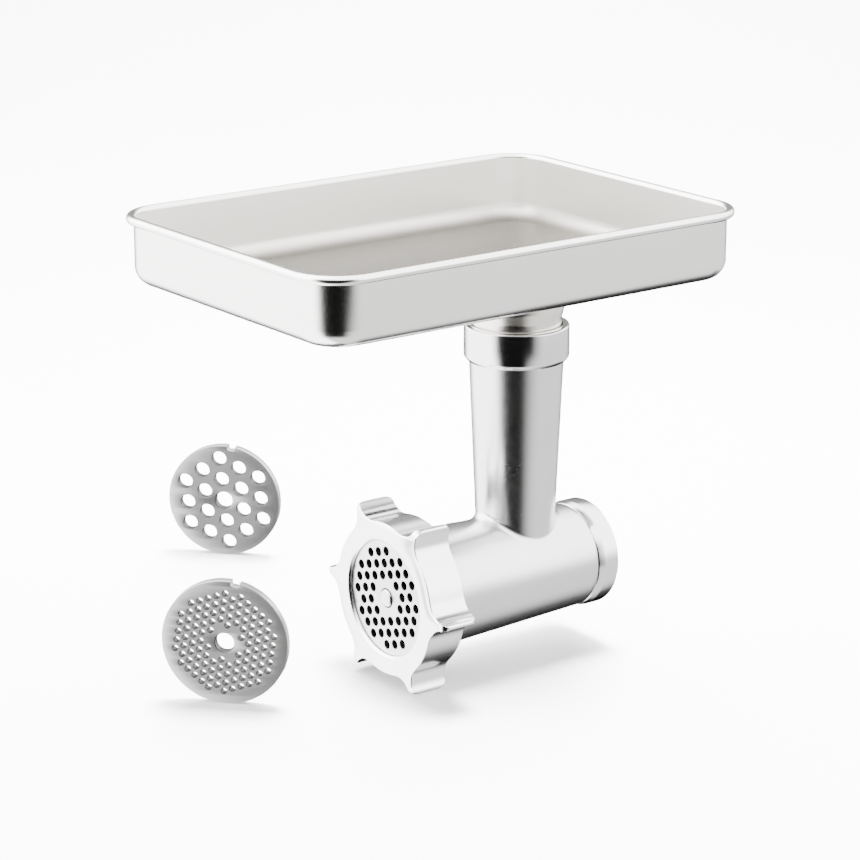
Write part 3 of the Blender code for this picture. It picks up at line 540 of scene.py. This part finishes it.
def fillet_arc(direction):
    """The fillet from the feed tube down to the barrel in one plane, as (reach, height) from the top down."""
    slope = math.atan2(TUBE_TOP_RADIUS - TUBE_FOOT_RADIUS, TUBE_STEP_Z - TUBE_FOOT_Z)
    # The height of the fillet's centre is halved in on, until the fillet just touches the barrel
    low, high = 12 * MM, 45 * MM
    for _ in range(22):
        z = (low + high) / 2
        centre = (tube_radius(z) + TUBE_FILLET / math.cos(slope), z)
        found = nearest_on(barrel_radius, direction, centre, centre[0])
        inside = height_on(barrel_radius, direction, centre[0])
        if found[0] < TUBE_FILLET or (inside is not None and inside > z):
            low = z
        else:
            high = z
    start = math.pi - slope
    end = math.atan2(found[2] - centre[1], found[1] - centre[0]) % math.tau
    arc = [mix(start, end, k / FILLET_ROWS) for k in range(FILLET_ROWS + 1)]
    return [(centre[0] + TUBE_FILLET * math.cos(a), centre[1] + TUBE_FILLET * math.sin(a)) for a in arc]


def bore_crossing(direction):
    """(reach, height) where the feed bore meets the barrel's bore in one plane."""
    z = 20 * MM
    for _ in range(30):
        z = height_on(bore_radius, direction, tube_radius(z) - TUBE_WALL)
    return tube_radius(z) - TUBE_WALL, z


def branched(skin, stations, rows, radius_at, foot):
    """Barrel rings with a hole round the feed tube: the rings, the hole's edge, the directions round it."""
    columns = PATCH_COLUMNS
    angles = [math.radians(90) + (i - columns / 2) * math.tau / BARREL_COLUMNS for i in range(BARREL_COLUMNS)]
    rings = []
    for y, radius in stations:
        at = [radius(a, y) if callable(radius) else radius for a in angles]
        rings.append(skin.ring([(r * math.cos(a), y, r * math.sin(a)) for r, a in zip(at, angles)]))
    first, last = rows
    for i in range(len(rings) - 1):
        skin.bridge(rings[i], rings[i + 1], range(columns) if first <= i < last else ())
    loop = [(first, c) for c in range(columns)] + [(r, columns) for r in range(first, last)]
    loop += [(last, c) for c in range(columns, 0, -1)] + [(r, 0) for r in range(last, first, -1)]
    outer = [rings[r][c] for r, c in loop]
    directions = []
    feet = []
    for index in outer:
        point = skin.points[index]
        across = -radius_at(point.y) * (math.atan2(point.z, point.x) - math.radians(90))
        directions.append(math.atan2(point.y - TUBE_Y, across))
        feet.append(foot(directions[-1]))
    before = outer
    for k in range(1, PATCH_STEPS + 1):
        points = []
        for index, direction, (reach, height) in zip(outer, directions, feet):
            start = skin.points[index]
            y = mix(start.y, TUBE_Y + reach * math.sin(direction), k / PATCH_STEPS)
            inner = math.atan2(height, reach * math.cos(direction))
            angle = mix(math.atan2(start.z, start.x), inner, k / PATCH_STEPS)
            points.append((radius_at(y) * math.cos(angle), y, radius_at(y) * math.sin(angle)))
        ring = skin.ring(points)
        skin.bridge(before, ring)
        before = ring
    return rings, before, directions


def around_tube(skin, directions, reaches, heights):
    return skin.ring(
        [
            (reach * math.cos(d), TUBE_Y + reach * math.sin(d), height)
            for d, reach, height in zip(directions, reaches, heights)
        ]
    )


def even_stations(first, last, count, radius_at):
    places = [mix(first, last, i / count) for i in range(count + 1)]
    return [(y, radius_at(y)) for y in places]


def outside_stations():
    """Rings of the outside, from the hub forward to the mouth, and the rows that hold the feed tube."""
    rear = [
        (BARREL_REAR_Y, BARREL_REAR_RADIUS - EDGE),
        (BARREL_REAR_Y - 0.12 * MM, BARREL_REAR_RADIUS - 0.12 * MM),
        (BARREL_REAR_Y - EDGE, BARREL_REAR_RADIUS),
    ]
    patch = even_stations(BARREL_REAR_Y - 2.5 * MM, MOUTH_Y + 46 * MM, PATCH_ROWS, barrel_radius)
    rows = (len(rear), len(rear) + PATCH_ROWS)
    middle = even_stations(MOUTH_Y + 44 * MM, BARREL_FRONT_Y + 1 * MM, MIDDLE_ROWS, barrel_radius)
    root = THREAD_RADIUS - THREAD_DEPTH
    flare = []
    for i in range(FLARE_ROWS + 1):
        share = i / FLARE_ROWS
        ease = share * share * (3 - 2 * share)
        y = mix(BARREL_FRONT_Y, THREAD_START_Y + 1.5 * MM, share)
        flare.append((y, mix(BARREL_FRONT_RADIUS, root - 0.2 * MM, ease)))
    thread = []
    for i in range(THREAD_ROWS + 1):
        y = mix(THREAD_START_Y + 0.6 * MM, MOUTH_Y + 0.5 * MM, i / THREAD_ROWS)
        fade = min(1.0, i / 6, (THREAD_ROWS - i) / 4)

        def radius(angle, at, fade=fade):
            return root + THREAD_DEPTH * thread_rise(angle, at) * fade

        thread.append((y, radius))
    lip = [(MOUTH_Y, root - 0.5 * MM)]
    return rear + patch + middle + flare + thread + lip, rows


def inside_stations():
    """Rings of the inside, from the mouth back to the hub, and the rows that hold the feed bore."""
    front = [
        (MOUTH_Y, PLATE_SEAT_RADIUS + EDGE),
        (MOUTH_Y + EDGE, PLATE_SEAT_RADIUS),
        (SEAT_Y, PLATE_SEAT_RADIUS),
        (SEAT_Y, CHAMBER_RADIUS + 0.3 * MM),
        (SEAT_Y + 0.3 * MM, CHAMBER_RADIUS),
        (CHAMBER_Y, CHAMBER_RADIUS),
        (BORE_FRONT_Y, bore_radius(BORE_FRONT_Y)),
        (MOUTH_Y + 52 * MM, bore_radius(MOUTH_Y + 52 * MM)),
    ]
    patch = even_stations(MOUTH_Y + 51 * MM, CHAMBER_END_Y - 1.0 * MM, PATCH_ROWS, bore_radius)
    rows = (len(front), len(front) + PATCH_ROWS)
    rear = [
        (CHAMBER_END_Y, bore_radius(CHAMBER_END_Y)),
        (CHAMBER_END_Y, BUSH_SEAT_RADIUS),
        (REAR_WALL_Y, BUSH_SEAT_RADIUS),
        (REAR_WALL_Y, REGISTER_RADIUS + GAP),
        (BARREL_REAR_Y, REGISTER_RADIUS + GAP),
    ]
    return front + patch + rear, rows


def make_housing():
    """One casting, grown from the hub forward, up the tube's outside, down its bore and back to the hub."""
    skin = Skin()
    stations, rows = outside_stations()
    arcs = {}

    def fillet_foot(direction):
        arcs[direction] = fillet_arc(direction)
        return arcs[direction][-1]

    outside, before, ways = branched(skin, stations, rows, barrel_radius, fillet_foot)
    for k in reversed(range(FILLET_ROWS)):
        ring = around_tube(skin, ways, [arcs[d][k][0] for d in ways], [arcs[d][k][1] for d in ways])
        skin.bridge(before, ring)
        before = ring
    for k in range(1, TUBE_ROWS + 1):
        heights = [mix(arcs[d][0][1], TUBE_STEP_Z, k / TUBE_ROWS) for d in ways]
        ring = around_tube(skin, ways, [tube_radius(z) for z in heights], heights)
        skin.bridge(before, ring)
        before = ring
    top = [
        (TUBE_BAND_RADIUS, TUBE_STEP_Z),
        (TUBE_BAND_RADIUS, TUBE_TOP_Z - 0.5 * MM),
        (TUBE_BAND_RADIUS - 0.5 * MM, TUBE_TOP_Z),
        (SOCKET_RADIUS + EDGE, TUBE_TOP_Z),
        (SOCKET_RADIUS, TUBE_TOP_Z - EDGE),
        (SOCKET_RADIUS, SOCKET_FLOOR_Z),
        (tube_radius(SOCKET_FLOOR_Z) - TUBE_WALL, SOCKET_FLOOR_Z),
    ]
    stations, rows = inside_stations()
    inside, mouth, inner_ways = branched(skin, stations, rows, bore_radius, bore_crossing)
    # The bore's edge starts elsewhere and runs the other way round, so it is put in the outside's order
    shift = min(range(len(inner_ways)), key=lambda i: abs(math.remainder(inner_ways[i] - ways[0], math.tau)))
    inner_turn = math.remainder(inner_ways[(shift + 1) % len(ways)] - inner_ways[shift], math.tau)
    outer_turn = math.remainder(ways[1] - ways[0], math.tau)
    step = -1 if inner_turn * outer_turn < 0 else 1
    order = [(shift + step * i) % len(ways) for i in range(len(ways))]
    inner_ways = [inner_ways[i] for i in order]
    mouth = [mouth[i] for i in order]
    for number, (radius, height) in enumerate(top):
        share = min(1.0, number / (len(top) - 2))
        turned_ways = [d + share * math.remainder(w - d, math.tau) for d, w in zip(ways, inner_ways)]
        ring = around_tube(skin, turned_ways, [radius] * len(ways), [height] * len(ways))
        skin.bridge(before, ring)
        before = ring
    feet = [bore_crossing(d)[1] for d in inner_ways]
    for k in range(1, BORE_ROWS):
        heights = [mix(SOCKET_FLOOR_Z, foot, k / BORE_ROWS) for foot in feet]
        ring = around_tube(skin, inner_ways, [tube_radius(z) - TUBE_WALL for z in heights], heights)
        skin.bridge(before, ring)
        before = ring
    skin.bridge(before, mouth)
    skin.bridge(outside[-1], inside[0])
    skin.bridge(inside[-1], outside[0])
    skin.piece("housing_casting", "head", "cast_metal", ["housing"], POLISHED)


def make_hub_collar():
    """Corners as (radius, place along the barrel, round)."""
    corners = [
        (HUB_SOCKET_RADIUS, 0, 0.6 * MM),
        (HUB_RADIUS, 0, 1.5 * MM),
        (HUB_RADIUS, -8.8 * MM, 2.5 * MM),
        (HUB_RADIUS - 0.9 * MM, HUB_BAND_FRONT_Y + 0.5 * MM, EDGE),
        (HUB_RADIUS - 1.3 * MM, HUB_BAND_FRONT_Y, 0.1 * MM),
        (REGISTER_RADIUS, HUB_BAND_FRONT_Y, 0),
        (REGISTER_RADIUS, HUB_LOW.y, EDGE),
        (HUB_SOCKET_RADIUS, HUB_LOW.y, 0.3 * MM),
    ]
    turned(corners).piece("hub_band", "head", "turned_metal", ["hub_collar"], TURNED)


def make_feed_collar():
    """Corners as (radius, height, round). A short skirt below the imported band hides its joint."""
    shoulder, skirt = COLLAR_HIGH.z - COLLAR_SHOULDER, COLLAR_LOW.z - COLLAR_SKIRT
    corners = [
        (SOCKET_RADIUS, COLLAR_HIGH.z, 0.7 * MM),
        (SOCKET_RADIUS, shoulder, 0.2 * MM),
        (TUBE_BAND_RADIUS + GAP, shoulder, 0),
        (TUBE_TOP_RADIUS + 0.3 * MM, skirt, 0),
        (TUBE_TOP_RADIUS + 0.9 * MM, skirt, 0.3 * MM),
        (COLLAR_RADIUS, COLLAR_LOW.z - EDGE, 2.0 * MM),
        (COLLAR_RADIUS, COLLAR_HIGH.z, 1.1 * MM),
    ]
    turned(corners, upright_circle).piece("feed_band", "head", "turned_metal", ["feed_collar"], TURNED)


# Tray


def pan_outline(inset):
    """Points of the tray's plan, moved in from its outer edge, anticlockwise, as (x, y)."""
    half_x = (PAN_HIGH.x - PAN_LOW.x) / 2 - inset
    half_y = (PAN_HIGH.y - PAN_LOW.y) / 2 - inset
    middle_y = (PAN_HIGH.y + PAN_LOW.y) / 2
    corner = max(PAN_CORNER - inset, 0.5 * MM)
    points = []
    for quarter, (sx, sy) in enumerate(((1, 1), (-1, 1), (-1, -1), (1, -1))):
        for step in range(PAN_CORNER_STEPS + 1):
            a = math.radians(90) * (quarter + step / PAN_CORNER_STEPS)
            x = sx * (half_x - corner) + corner * math.cos(a)
            y = middle_y + sy * (half_y - corner) + corner * math.sin(a)
            points.append((x, y))
    return points


def make_tray_pan():
    """A section carried round the plan: up the outside, over the rolled rim and down to the floor."""
    wall_out = 2 * RIM_RADIUS - SHEET
    wall_in = 2 * RIM_RADIUS
    rim_z = PAN_HIGH.z - RIM_RADIUS
    floor = PAN_LOW.z
    arc = [math.radians(90) * i / PAN_ROUND_STEPS for i in range(PAN_ROUND_STEPS + 1)]
    section = [
        (wall_out + PAN_FLOOR_ROUND * (1 - math.cos(a)), floor + PAN_FLOOR_ROUND * (1 - math.sin(a)))
        for a in reversed(arc)
    ]
    section.append((wall_out, rim_z - RIM_RADIUS * 0.86))
    for i in range(RIM_STEPS):
        a = math.radians(RIM_START_DEGREES + RIM_STEP_DEGREES * i)
        section.append((RIM_RADIUS - RIM_RADIUS * math.cos(a), rim_z + RIM_RADIUS * math.sin(a)))
    inner = PAN_FLOOR_ROUND - SHEET
    section += [
        (wall_in + inner * (1 - math.cos(a)), floor + SHEET + inner * (1 - math.sin(a))) for a in arc
    ]
    skin = Skin()
    rings = [skin.ring([(x, y, z) for x, y in pan_outline(inset)]) for inset, z in section]
    outer = len(arc) + 1 + RIM_STEPS
    skin.chain(rings[:outer])
    hole = SPOUT_UPPER_RADIUS - SPOUT_WALL
    under = skin.ring(upright_circle(hole, floor))
    over = skin.ring(upright_circle(hole, floor + SHEET))
    skin.bridge(under, over)
    skin.fill(rings[0], under)
    start = len(skin.faces)
    skin.chain(rings[outer - 1 :])
    skin.fill(rings[-1], over)
    skin.mark_inside(start)
    skin.piece("tray_sheet", "tray", "sheet_metal", ["tray_pan"], SATIN_SHEET, inside=INSIDE_SHEET)


def make_tray_spout():
    """Corners as (radius, height, round): up the outside over one soft step, and down the inside."""
    lower, upper, step, top = SPOUT_RADIUS, SPOUT_UPPER_RADIUS, SPOUT_STEP_Z, SPOUT_HIGH.z
    corners = [
        (lower, SPOUT_LOW.z, EDGE),
        (lower, step - 1.6 * MM, 2.4 * MM),
        (upper, step + 3.6 * MM, 3.4 * MM),
        (upper, top - SPOUT_FLANGE, 0.8 * MM),
        (SPOUT_FLANGE_RADIUS, top - SPOUT_FLANGE, EDGE),
        (SPOUT_FLANGE_RADIUS, top, 0.3 * MM),
        (upper - SPOUT_WALL, top, 0.5 * MM),
        (upper - SPOUT_WALL, step + 1.2 * MM, 0.6 * MM),
        (lower - SPOUT_WALL, step, 0.6 * MM),
        (lower - SPOUT_WALL, SPOUT_LOW.z, EDGE),
    ]
    turned(corners, upright_circle).piece("spout_tube", "tray", "sheet_metal", ["tray_spout"], SPUN_SHEET)


# Ring nut


def lug_outline(inset):
    """The ring's outline with its lugs, moved in by an inset, as (x, z)."""
    root, tip = RING_RADIUS - inset, LUG_RADIUS - inset
    half_tip = LUG_TIP_HALF - inset
    start = (root * math.cos(LUG_ROOT), root * math.sin(LUG_ROOT))
    bend = (root + 1.0 * MM, half_tip + 0.8 * MM)
    end = (tip - half_tip, half_tip)
    half = []
    for i in range(LUG_CURVE_STEPS + 1):
        t = i / LUG_CURVE_STEPS
        weights = ((1 - t) ** 2, 2 * t * (1 - t), t * t)
        half.append(tuple(sum(w * p[k] for w, p in zip(weights, (start, bend, end))) for k in (0, 1)))
    for a in map(math.radians, (20, 40, 60, 80)):
        half.append((end[0] + half_tip * math.sin(a), half_tip * math.cos(a)))
    lug = [(x, -y) for x, y in half] + [(x, y) for x, y in reversed(half)]
    valley = math.tau / LUG_COUNT - 2 * LUG_ROOT
    for i in range(1, LUG_VALLEY_STEPS):
        a = LUG_ROOT + valley * i / LUG_VALLEY_STEPS
        lug.append((root * math.cos(a), root * math.sin(a)))
    outline = []
    for number in range(LUG_COUNT):
        at = LUG_TURN + math.tau * number / LUG_COUNT
        c, s = math.cos(at), math.sin(at)
        outline += [(x * c - y * s, x * s + y * c) for x, y in lug]
    return outline


def lug_limit(y):
    """How far the lugs reach at a station: they are rounded towards the ring's front and rear."""
    inner = LUG_RADIUS - LUG_CORNER
    into = min(y - RING_LOW.y, RING_HIGH.y - y)
    if into >= LUG_CORNER:
        return LUG_RADIUS
    return inner + math.sqrt(max(LUG_CORNER**2 - (LUG_CORNER - into) ** 2, 0))


def make_ring_nut():
    """The lugged outside from front to rear, then the opening, the plate's seat and the thread inside."""
    skin = Skin()
    edge = 0.5 * MM
    depth = RING_HIGH.y - RING_LOW.y
    front = [(0, edge), (0.15 * MM, edge * 0.45), (edge, 0)]
    front += [(LUG_CORNER * i / LUG_CORNER_STEPS, 0) for i in range(1, LUG_CORNER_STEPS + 1)]
    front.append((depth / 2, 0))
    front.sort()
    stations = front + [(depth - into, inset) for into, inset in reversed(front[:-1])]
    rings = []
    for into, inset in stations:
        limit = lug_limit(RING_LOW.y + into) - inset
        points = []
        for x, z in lug_outline(inset):
            share = min(1.0, limit / math.hypot(x, z))
            points.append((x * share, RING_LOW.y + into, z * share))
        rings.append(skin.ring(points))
    skin.chain(rings)
    lip = PLATE_LOW.y - GAP
    bore = [
        (RING_OPENING + 1.0 * MM, RING_LOW.y),
        (RING_OPENING + 0.1 * MM, RING_LOW.y + 0.8 * MM),
        (RING_OPENING, RING_LOW.y + 1.0 * MM),
        (RING_OPENING, lip),
        (PLATE_SEAT_RADIUS, lip),
        (PLATE_SEAT_RADIUS, MOUTH_Y - GAP),
    ]
    loops = [skin.ring(barrel_circle(radius, y, BARREL_COLUMNS)) for radius, y in bore]
    for i in range(NUT_THREAD_ROWS + 1):
        fade = min(1.0, i / 4, (NUT_THREAD_ROWS - i) / 6)
        y = mix(MOUTH_Y - GAP, RING_HIGH.y - 2.0 * MM, i / NUT_THREAD_ROWS)
        points = []
        for a in circle(BARREL_COLUMNS):
            r = THREAD_RADIUS + GAP - THREAD_DEPTH * (1 - thread_rise(a, y)) * fade
            points.append((r * math.cos(a), y, r * math.sin(a)))
        loops.append(skin.ring(points))
    for r, y in ((THREAD_RADIUS + 0.5 * MM, RING_HIGH.y - 1.2 * MM), (THREAD_RADIUS + 1.2 * MM, RING_HIGH.y)):
        loops.append(skin.ring(barrel_circle(r, y, BARREL_COLUMNS)))
    skin.chain(loops)
    skin.fill(rings[0], loops[0])
    skin.fill(rings[-1], loops[-1])
    skin.piece("ring_casting", "ring_nut", "ring_metal", ["ring_nut"], RING_POLISH)


# Plates


def grid(hole, spacing, turn):
    """Middles of a plate's holes."""
    nearest = PLATE_CENTRE_HOLE + hole + PLATE_LIGAMENT
    furthest = PLATE_RADIUS - hole - PLATE_RIM
    reach = int(furthest / spacing) + 2
    points = []
    for row in range(-reach, reach + 1):
        for column in range(-reach, reach + 1):
            point = Vector((spacing * (column + row / 2), spacing * row * math.sqrt(3) / 2))
            if nearest < point.length < furthest:
                point.rotate(Matrix.Rotation(turn, 2))
                points.append(point)
    return points


def plate_edge(notch, inset):
    """The plate's edge with its notch, moved in by an inset."""
    radius, half, floor = PLATE_RADIUS - inset, NOTCH_HALF + inset, NOTCH_FLOOR - inset
    corner = math.asin(half / radius)
    c, s = math.cos(notch), math.sin(notch)
    points = []
    for i in range(PLATE_EDGE_STEPS + 1):
        a = notch + corner + (math.tau - 2 * corner) * i / PLATE_EDGE_STEPS
        points.append((radius * math.cos(a), radius * math.sin(a)))
    for across in (-half, -half * 0.7, 0, half * 0.7, half):
        dip = floor + (0.8 * MM if abs(across) == half else 0)
        points.append((dip * c - across * s, dip * s + across * c))
    return points


def hole_edge(middle, radius, sides, inset):
    """A hole's edge, widened by an inset."""
    reach = radius + inset
    return [(middle[0] + reach * math.cos(a), middle[1] + reach * math.sin(a)) for a in circle(sides)]


def make_plate(name, body, node, pattern, matrix, material):
    """A disc with every edge broken; its holes' walls are painted near black as shade."""
    hole, spacing, turn, notch = pattern
    skin = Skin()
    half = PLATE_THICKNESS / 2
    sides = WIDE_HOLE_SIDES if pattern is COARSE else NARROW_HOLE_SIDES
    outlines = [lambda inset: plate_edge(notch, inset)]
    outlines.append(lambda inset: hole_edge((0, 0), PLATE_CENTRE_HOLE, CENTRE_HOLE_SIDES, inset))
    for middle in grid(hole, spacing, turn):
        outlines.append(lambda inset, middle=middle: hole_edge(middle, hole, sides, inset * 0.5))
    edge = PLATE_EDGE
    faces = ([], [])
    for outline in outlines:
        levels = ((-half, edge), (-half + edge * 0.3, edge * 0.3), (-half + edge, 0))
        levels += ((half - edge, 0), (half - edge * 0.3, edge * 0.3), (half, edge))
        rings = [skin.ring([matrix @ Vector((x, y, z)) for x, y in outline(inset)]) for z, inset in levels]
        start = len(skin.faces)
        skin.chain(rings)
        if outline is not outlines[0]:
            skin.mark_inside(start)
        faces[0].append(rings[0])
        faces[1].append(rings[-1])
    for loops in faces:
        skin.fill(*loops)
    skin.piece(name, body, "plate_steel", [node], material, inside=HOLE_SHADE)


def make_plates():
    stand = Matrix.Rotation(math.radians(90), 4, "X")
    seated = Matrix.Translation((0, (PLATE_LOW.y + PLATE_HIGH.y) / 2, 0)) @ stand
    make_plate("medium_disc", "cutting_plate", "cutting_plate", MEDIUM, seated, GROUND)
    turn = Matrix.Rotation(LOOSE_AZIMUTH, 4, "Z")
    for name, node, pattern in (("coarse_disc", "coarse_plate", COARSE), ("fine_disc", "fine_plate", FINE)):
        low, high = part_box(node)
        centre = (low + high) / 2
        make_plate(name, node, node, pattern, Matrix.Translation(centre) @ turn @ stand, BLASTED)


# Stud, pins and bearing, and the pieces that stay as packed


def square_section(reach, y):
    """A square with cut corners round the barrel's axis."""
    points = []
    for a in circle(STUD_STEPS):
        c, s = math.cos(a), math.sin(a)
        share = min(reach / max(abs(c), abs(s)), reach * STUD_SQUARE_CORNER)
        points.append((share * c, y, share * s))
    return points


def make_front_stud():
    """A domed pin, the square that drives the knife, and the shank in the worm."""
    skin = Skin()
    tip, square_front = STUD_LOW.y, PLATE_HIGH.y + GAP
    square_rear = square_front + STUD_SQUARE_LENGTH
    pin = [(STUD_RADIUS - 1.1 * MM, tip), (STUD_RADIUS - 0.5 * MM, tip + 0.12 * MM)]
    pin += [(STUD_RADIUS, tip + 0.7 * MM), (STUD_RADIUS, square_front)]
    square = [(STUD_SQUARE_HALF - EDGE, square_front), (STUD_SQUARE_HALF, square_front + EDGE)]
    square.append((STUD_SQUARE_HALF, square_rear))
    shank = [(STUD_SHANK, square_rear), (STUD_SHANK, STUD_HIGH.y - 0.6 * MM)]
    shank.append((STUD_SHANK - 0.6 * MM, STUD_HIGH.y))
    rings = [skin.ring(barrel_circle(r, y, STUD_STEPS)) for r, y in pin]
    rings += [skin.ring(square_section(reach, y)) for reach, y in square]
    rings += [skin.ring(barrel_circle(r, y, STUD_STEPS)) for r, y in shank]
    skin.chain_capped(rings)
    skin.piece("worm_stud", "worm", "tool_steel", ["front_stud"], TOOL_STEEL)


def dress(node, material):
    """Gives a piece that stays as packed its finish."""
    for slot in frame["nodes"][node].material_slots:
        slot.material = material


def make_rod(node, body):
    """A pin with chamfered, slightly domed ends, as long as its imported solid."""
    low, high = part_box(node)
    size = high - low
    axis = max(range(3), key=lambda k: size[k])
    radius, half = min(size) / 2, size[axis] / 2
    turn = Vector((0, 0, 1)).rotation_difference(Vector([float(k == axis) for k in range(3)])).to_matrix()
    profile = [
        (radius * 0.3, half),
        (radius - ROD_EDGE, half - 0.08 * MM),
        (radius - ROD_EDGE * 0.3, half - ROD_EDGE * 0.4),
        (radius, half - ROD_EDGE * 1.4),
    ]
    profile += [(r, -along) for r, along in reversed(profile)]
    skin = Skin()
    middle = (low + high) / 2
    rings = []
    for r, along in profile:
        points = [Vector((r * math.cos(a), r * math.sin(a), along)) for a in circle(ROD_STEPS)]
        rings.append(skin.ring([middle + turn @ point for point in points]))
    skin.chain_capped(rings)
    skin.piece(node + "_rod", body, "tool_steel", [node], TOOL_STEEL)


def make_bearing():
    """The bush, the seal in front of the hub and the thrust washer, each as (radius, place, round)."""
    low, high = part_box("rear_bush")
    outer, flange = high.x, low.y + BUSH_FLANGE
    bush = [(BUSH_BORE_RADIUS, low.y, EDGE), (outer, low.y, EDGE), (outer, flange, EDGE)]
    bush.append((BUSH_NOSE_RADIUS, flange, 0.2 * MM))
    bush += [(BUSH_NOSE_RADIUS, high.y, EDGE), (BUSH_BORE_RADIUS, high.y, EDGE)]
    turned(bush).piece("bush_turning", "head", "bearing_bronze", ["rear_bush"], BRONZE)
    low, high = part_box("shaft_seal")
    inner, outer, soft = SEAL_BORE_RADIUS, high.x, 0.2 * MM
    seal = [(inner, low.y + 2 * SEAL_LIP, soft), (inner + SEAL_LIP, low.y, soft), (outer, low.y, EDGE)]
    seal += [(outer, high.y, EDGE), (inner + SEAL_LIP, high.y, soft), (inner, high.y - 2 * SEAL_LIP, soft)]
    turned(seal).piece("seal_ring", "head", "seal_rubber", ["shaft_seal"], RUBBER)
    low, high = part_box("thrust_washer")
    section = [(BUSH_BORE_RADIUS, low.y), (high.x, low.y), (high.x, high.y), (BUSH_BORE_RADIUS, high.y)]
    washer = [(radius, y, 0.3 * MM) for radius, y in section]
    turned(washer).piece("washer_disc", "head", "washer_nylon", ["thrust_washer"], NYLON)


# Studio


def make_floor():
    mesh = bpy.data.meshes.new("floor")
    corners = [(x * FLOOR_HALF, y * FLOOR_HALF, FLOOR_Z) for x, y in ((-1, -1), (1, -1), (1, 1), (-1, 1))]
    mesh.from_pydata(corners, [], [(0, 1, 2, 3)])
    material, _, shader = new_material("pale_floor")
    shader.inputs["Base Color"].default_value = (0.93, 0.93, 0.93, 1.0)
    shader.inputs["Roughness"].default_value = 0.9
    mesh.materials.append(material)
    floor = bpy.data.objects.new("floor", mesh)
    bpy.context.scene.collection.objects.link(floor)
    floor.visible_glossy = False


def make_world():
    """White all round to the eye. To polished metal, a studio with a bright ceiling and a bright left side.

    Its right side is dark, and it is grey behind and below. Each region is told by its direction: its azimuth
    from straight ahead of the mouth, and its height from -1 below to 1 above.
    """
    world = bpy.data.worlds.new("studio")
    world.use_nodes = True
    bpy.context.scene.world = world
    graph = Graph(world.node_tree)
    background = world.node_tree.nodes["Background"]
    x, y, z = graph.split(graph.add("ShaderNodeTexCoord", out="Generated"))
    azimuth = x.math("ARCTAN2", x, 0.0 - y)
    wide = graph.ease(z, -0.35, -0.29)
    dark = graph.ease(azimuth + 0.12 * wide, -0.06, 0.40) * graph.ease(azimuth - 0.3 * wide, 1.72, 1.12)
    dark = dark * graph.ease(z, 0.7, 0.3) * graph.ease(z, -0.86, -0.68)
    left = graph.ease(azimuth, 0.45, 0.0) * graph.ease(azimuth, -1.95, -1.3)
    behind = graph.ease(azimuth, -1.3, -1.9) * graph.ease(azimuth, -3.0, -2.5) * graph.ease(z, 0.75, 0.45)
    under = graph.ease(y, 0.2, 0.5) * graph.ease(z, -0.43, -0.62) * graph.ease(x, 0.4, -0.1)
    level = graph.ease(z, -0.2, 0.25, HORIZON_GLOW, CEILING_GLOW) + LEFT_GLOW * left
    level = level * (1.0 - DARK_SIDE * dark) * (1.0 - GREY_SIDE * behind) * (1.0 - GREY_BELOW * under)
    ray = graph.add("ShaderNodeLightPath").socket.node.outputs
    glossy, seen = Value(graph, ray["Is Glossy Ray"]), Value(graph, ray["Is Camera Ray"])
    room = ROOM_GLOW + BACKDROP_GLOW * seen
    graph.feed(background.inputs["Strength"], glossy * level + (1.0 - glossy) * room)
    background.inputs["Color"].default_value = (1.0, 1.0, 1.0, 1.0)


def square_lamp(name, place, target, size, power):
    lamp = bpy.data.lights.new(name, "AREA")
    lamp.size = size
    lamp.energy = power
    item = bpy.data.objects.new(name, lamp)
    bpy.context.scene.collection.objects.link(item)
    item.location = place
    item.rotation_euler = (Vector(target) - Vector(place)).to_track_quat("-Z", "Y").to_euler()
    item.visible_glossy = False
    return item


def make_lights():
    """Lamps from above. Tray and spout block none of them, so the floor shows only the barrel's shadow."""
    lamps = [
        square_lamp("key_light", (-0.22, 0.14, 1.3), LAMP_TARGET, 0.5, 200.0),
        square_lamp("top_light", (-0.25, 0.15, 1.7), LAMP_TARGET, 2.8, 100.0),
        square_lamp("rear_light", (-1.9, 1.4, 1.8), (-1.9, 1.4, 0.0), 2.2, 480.0),
        square_lamp("front_light", (1.9, -1.4, 1.8), (1.9, -1.4, 0.0), 2.2, 150.0),
    ]
    shaded = bpy.data.collections.new("shadow_makers")
    for item in bpy.context.scene.objects:
        if item.type == "MESH" and not item.name.startswith(("tray", "spout", "floor")):
            shaded.objects.link(item)
    for lamp in lamps:
        lamp.light_linking.blocker_collection = shaded


def make_camera():
    camera = bpy.data.cameras.new("camera")
    camera.sensor_width = CAMERA_SENSOR
    camera.lens = CAMERA_LENS
    item = bpy.data.objects.new("camera", camera)
    bpy.context.scene.collection.objects.link(item)
    right = Vector(CAMERA_RIGHT).normalized()
    back = Vector(CAMERA_BACK).normalized()
    turn = Matrix((right, back.cross(right), back)).transposed().to_4x4()
    item.matrix_world = Matrix.Translation(CAMERA_PLACE) @ turn
    bpy.context.scene.camera = item


make_camera()
make_world()
make_floor()
make_housing()
make_hub_collar()
make_feed_collar()
make_tray_pan()
make_tray_spout()
make_ring_nut()
make_plates()
make_front_stud()
dress("auger", CAST)
dress("knife", TOOL_STEEL)
dress("drive_shaft", TOOL_STEEL)
make_bearing()
make_rod("hub_pin_left", "head")
make_rod("hub_pin_right", "head")
make_rod("plate_key", "head")
make_rod("drive_pin", "worm")
make_lights()
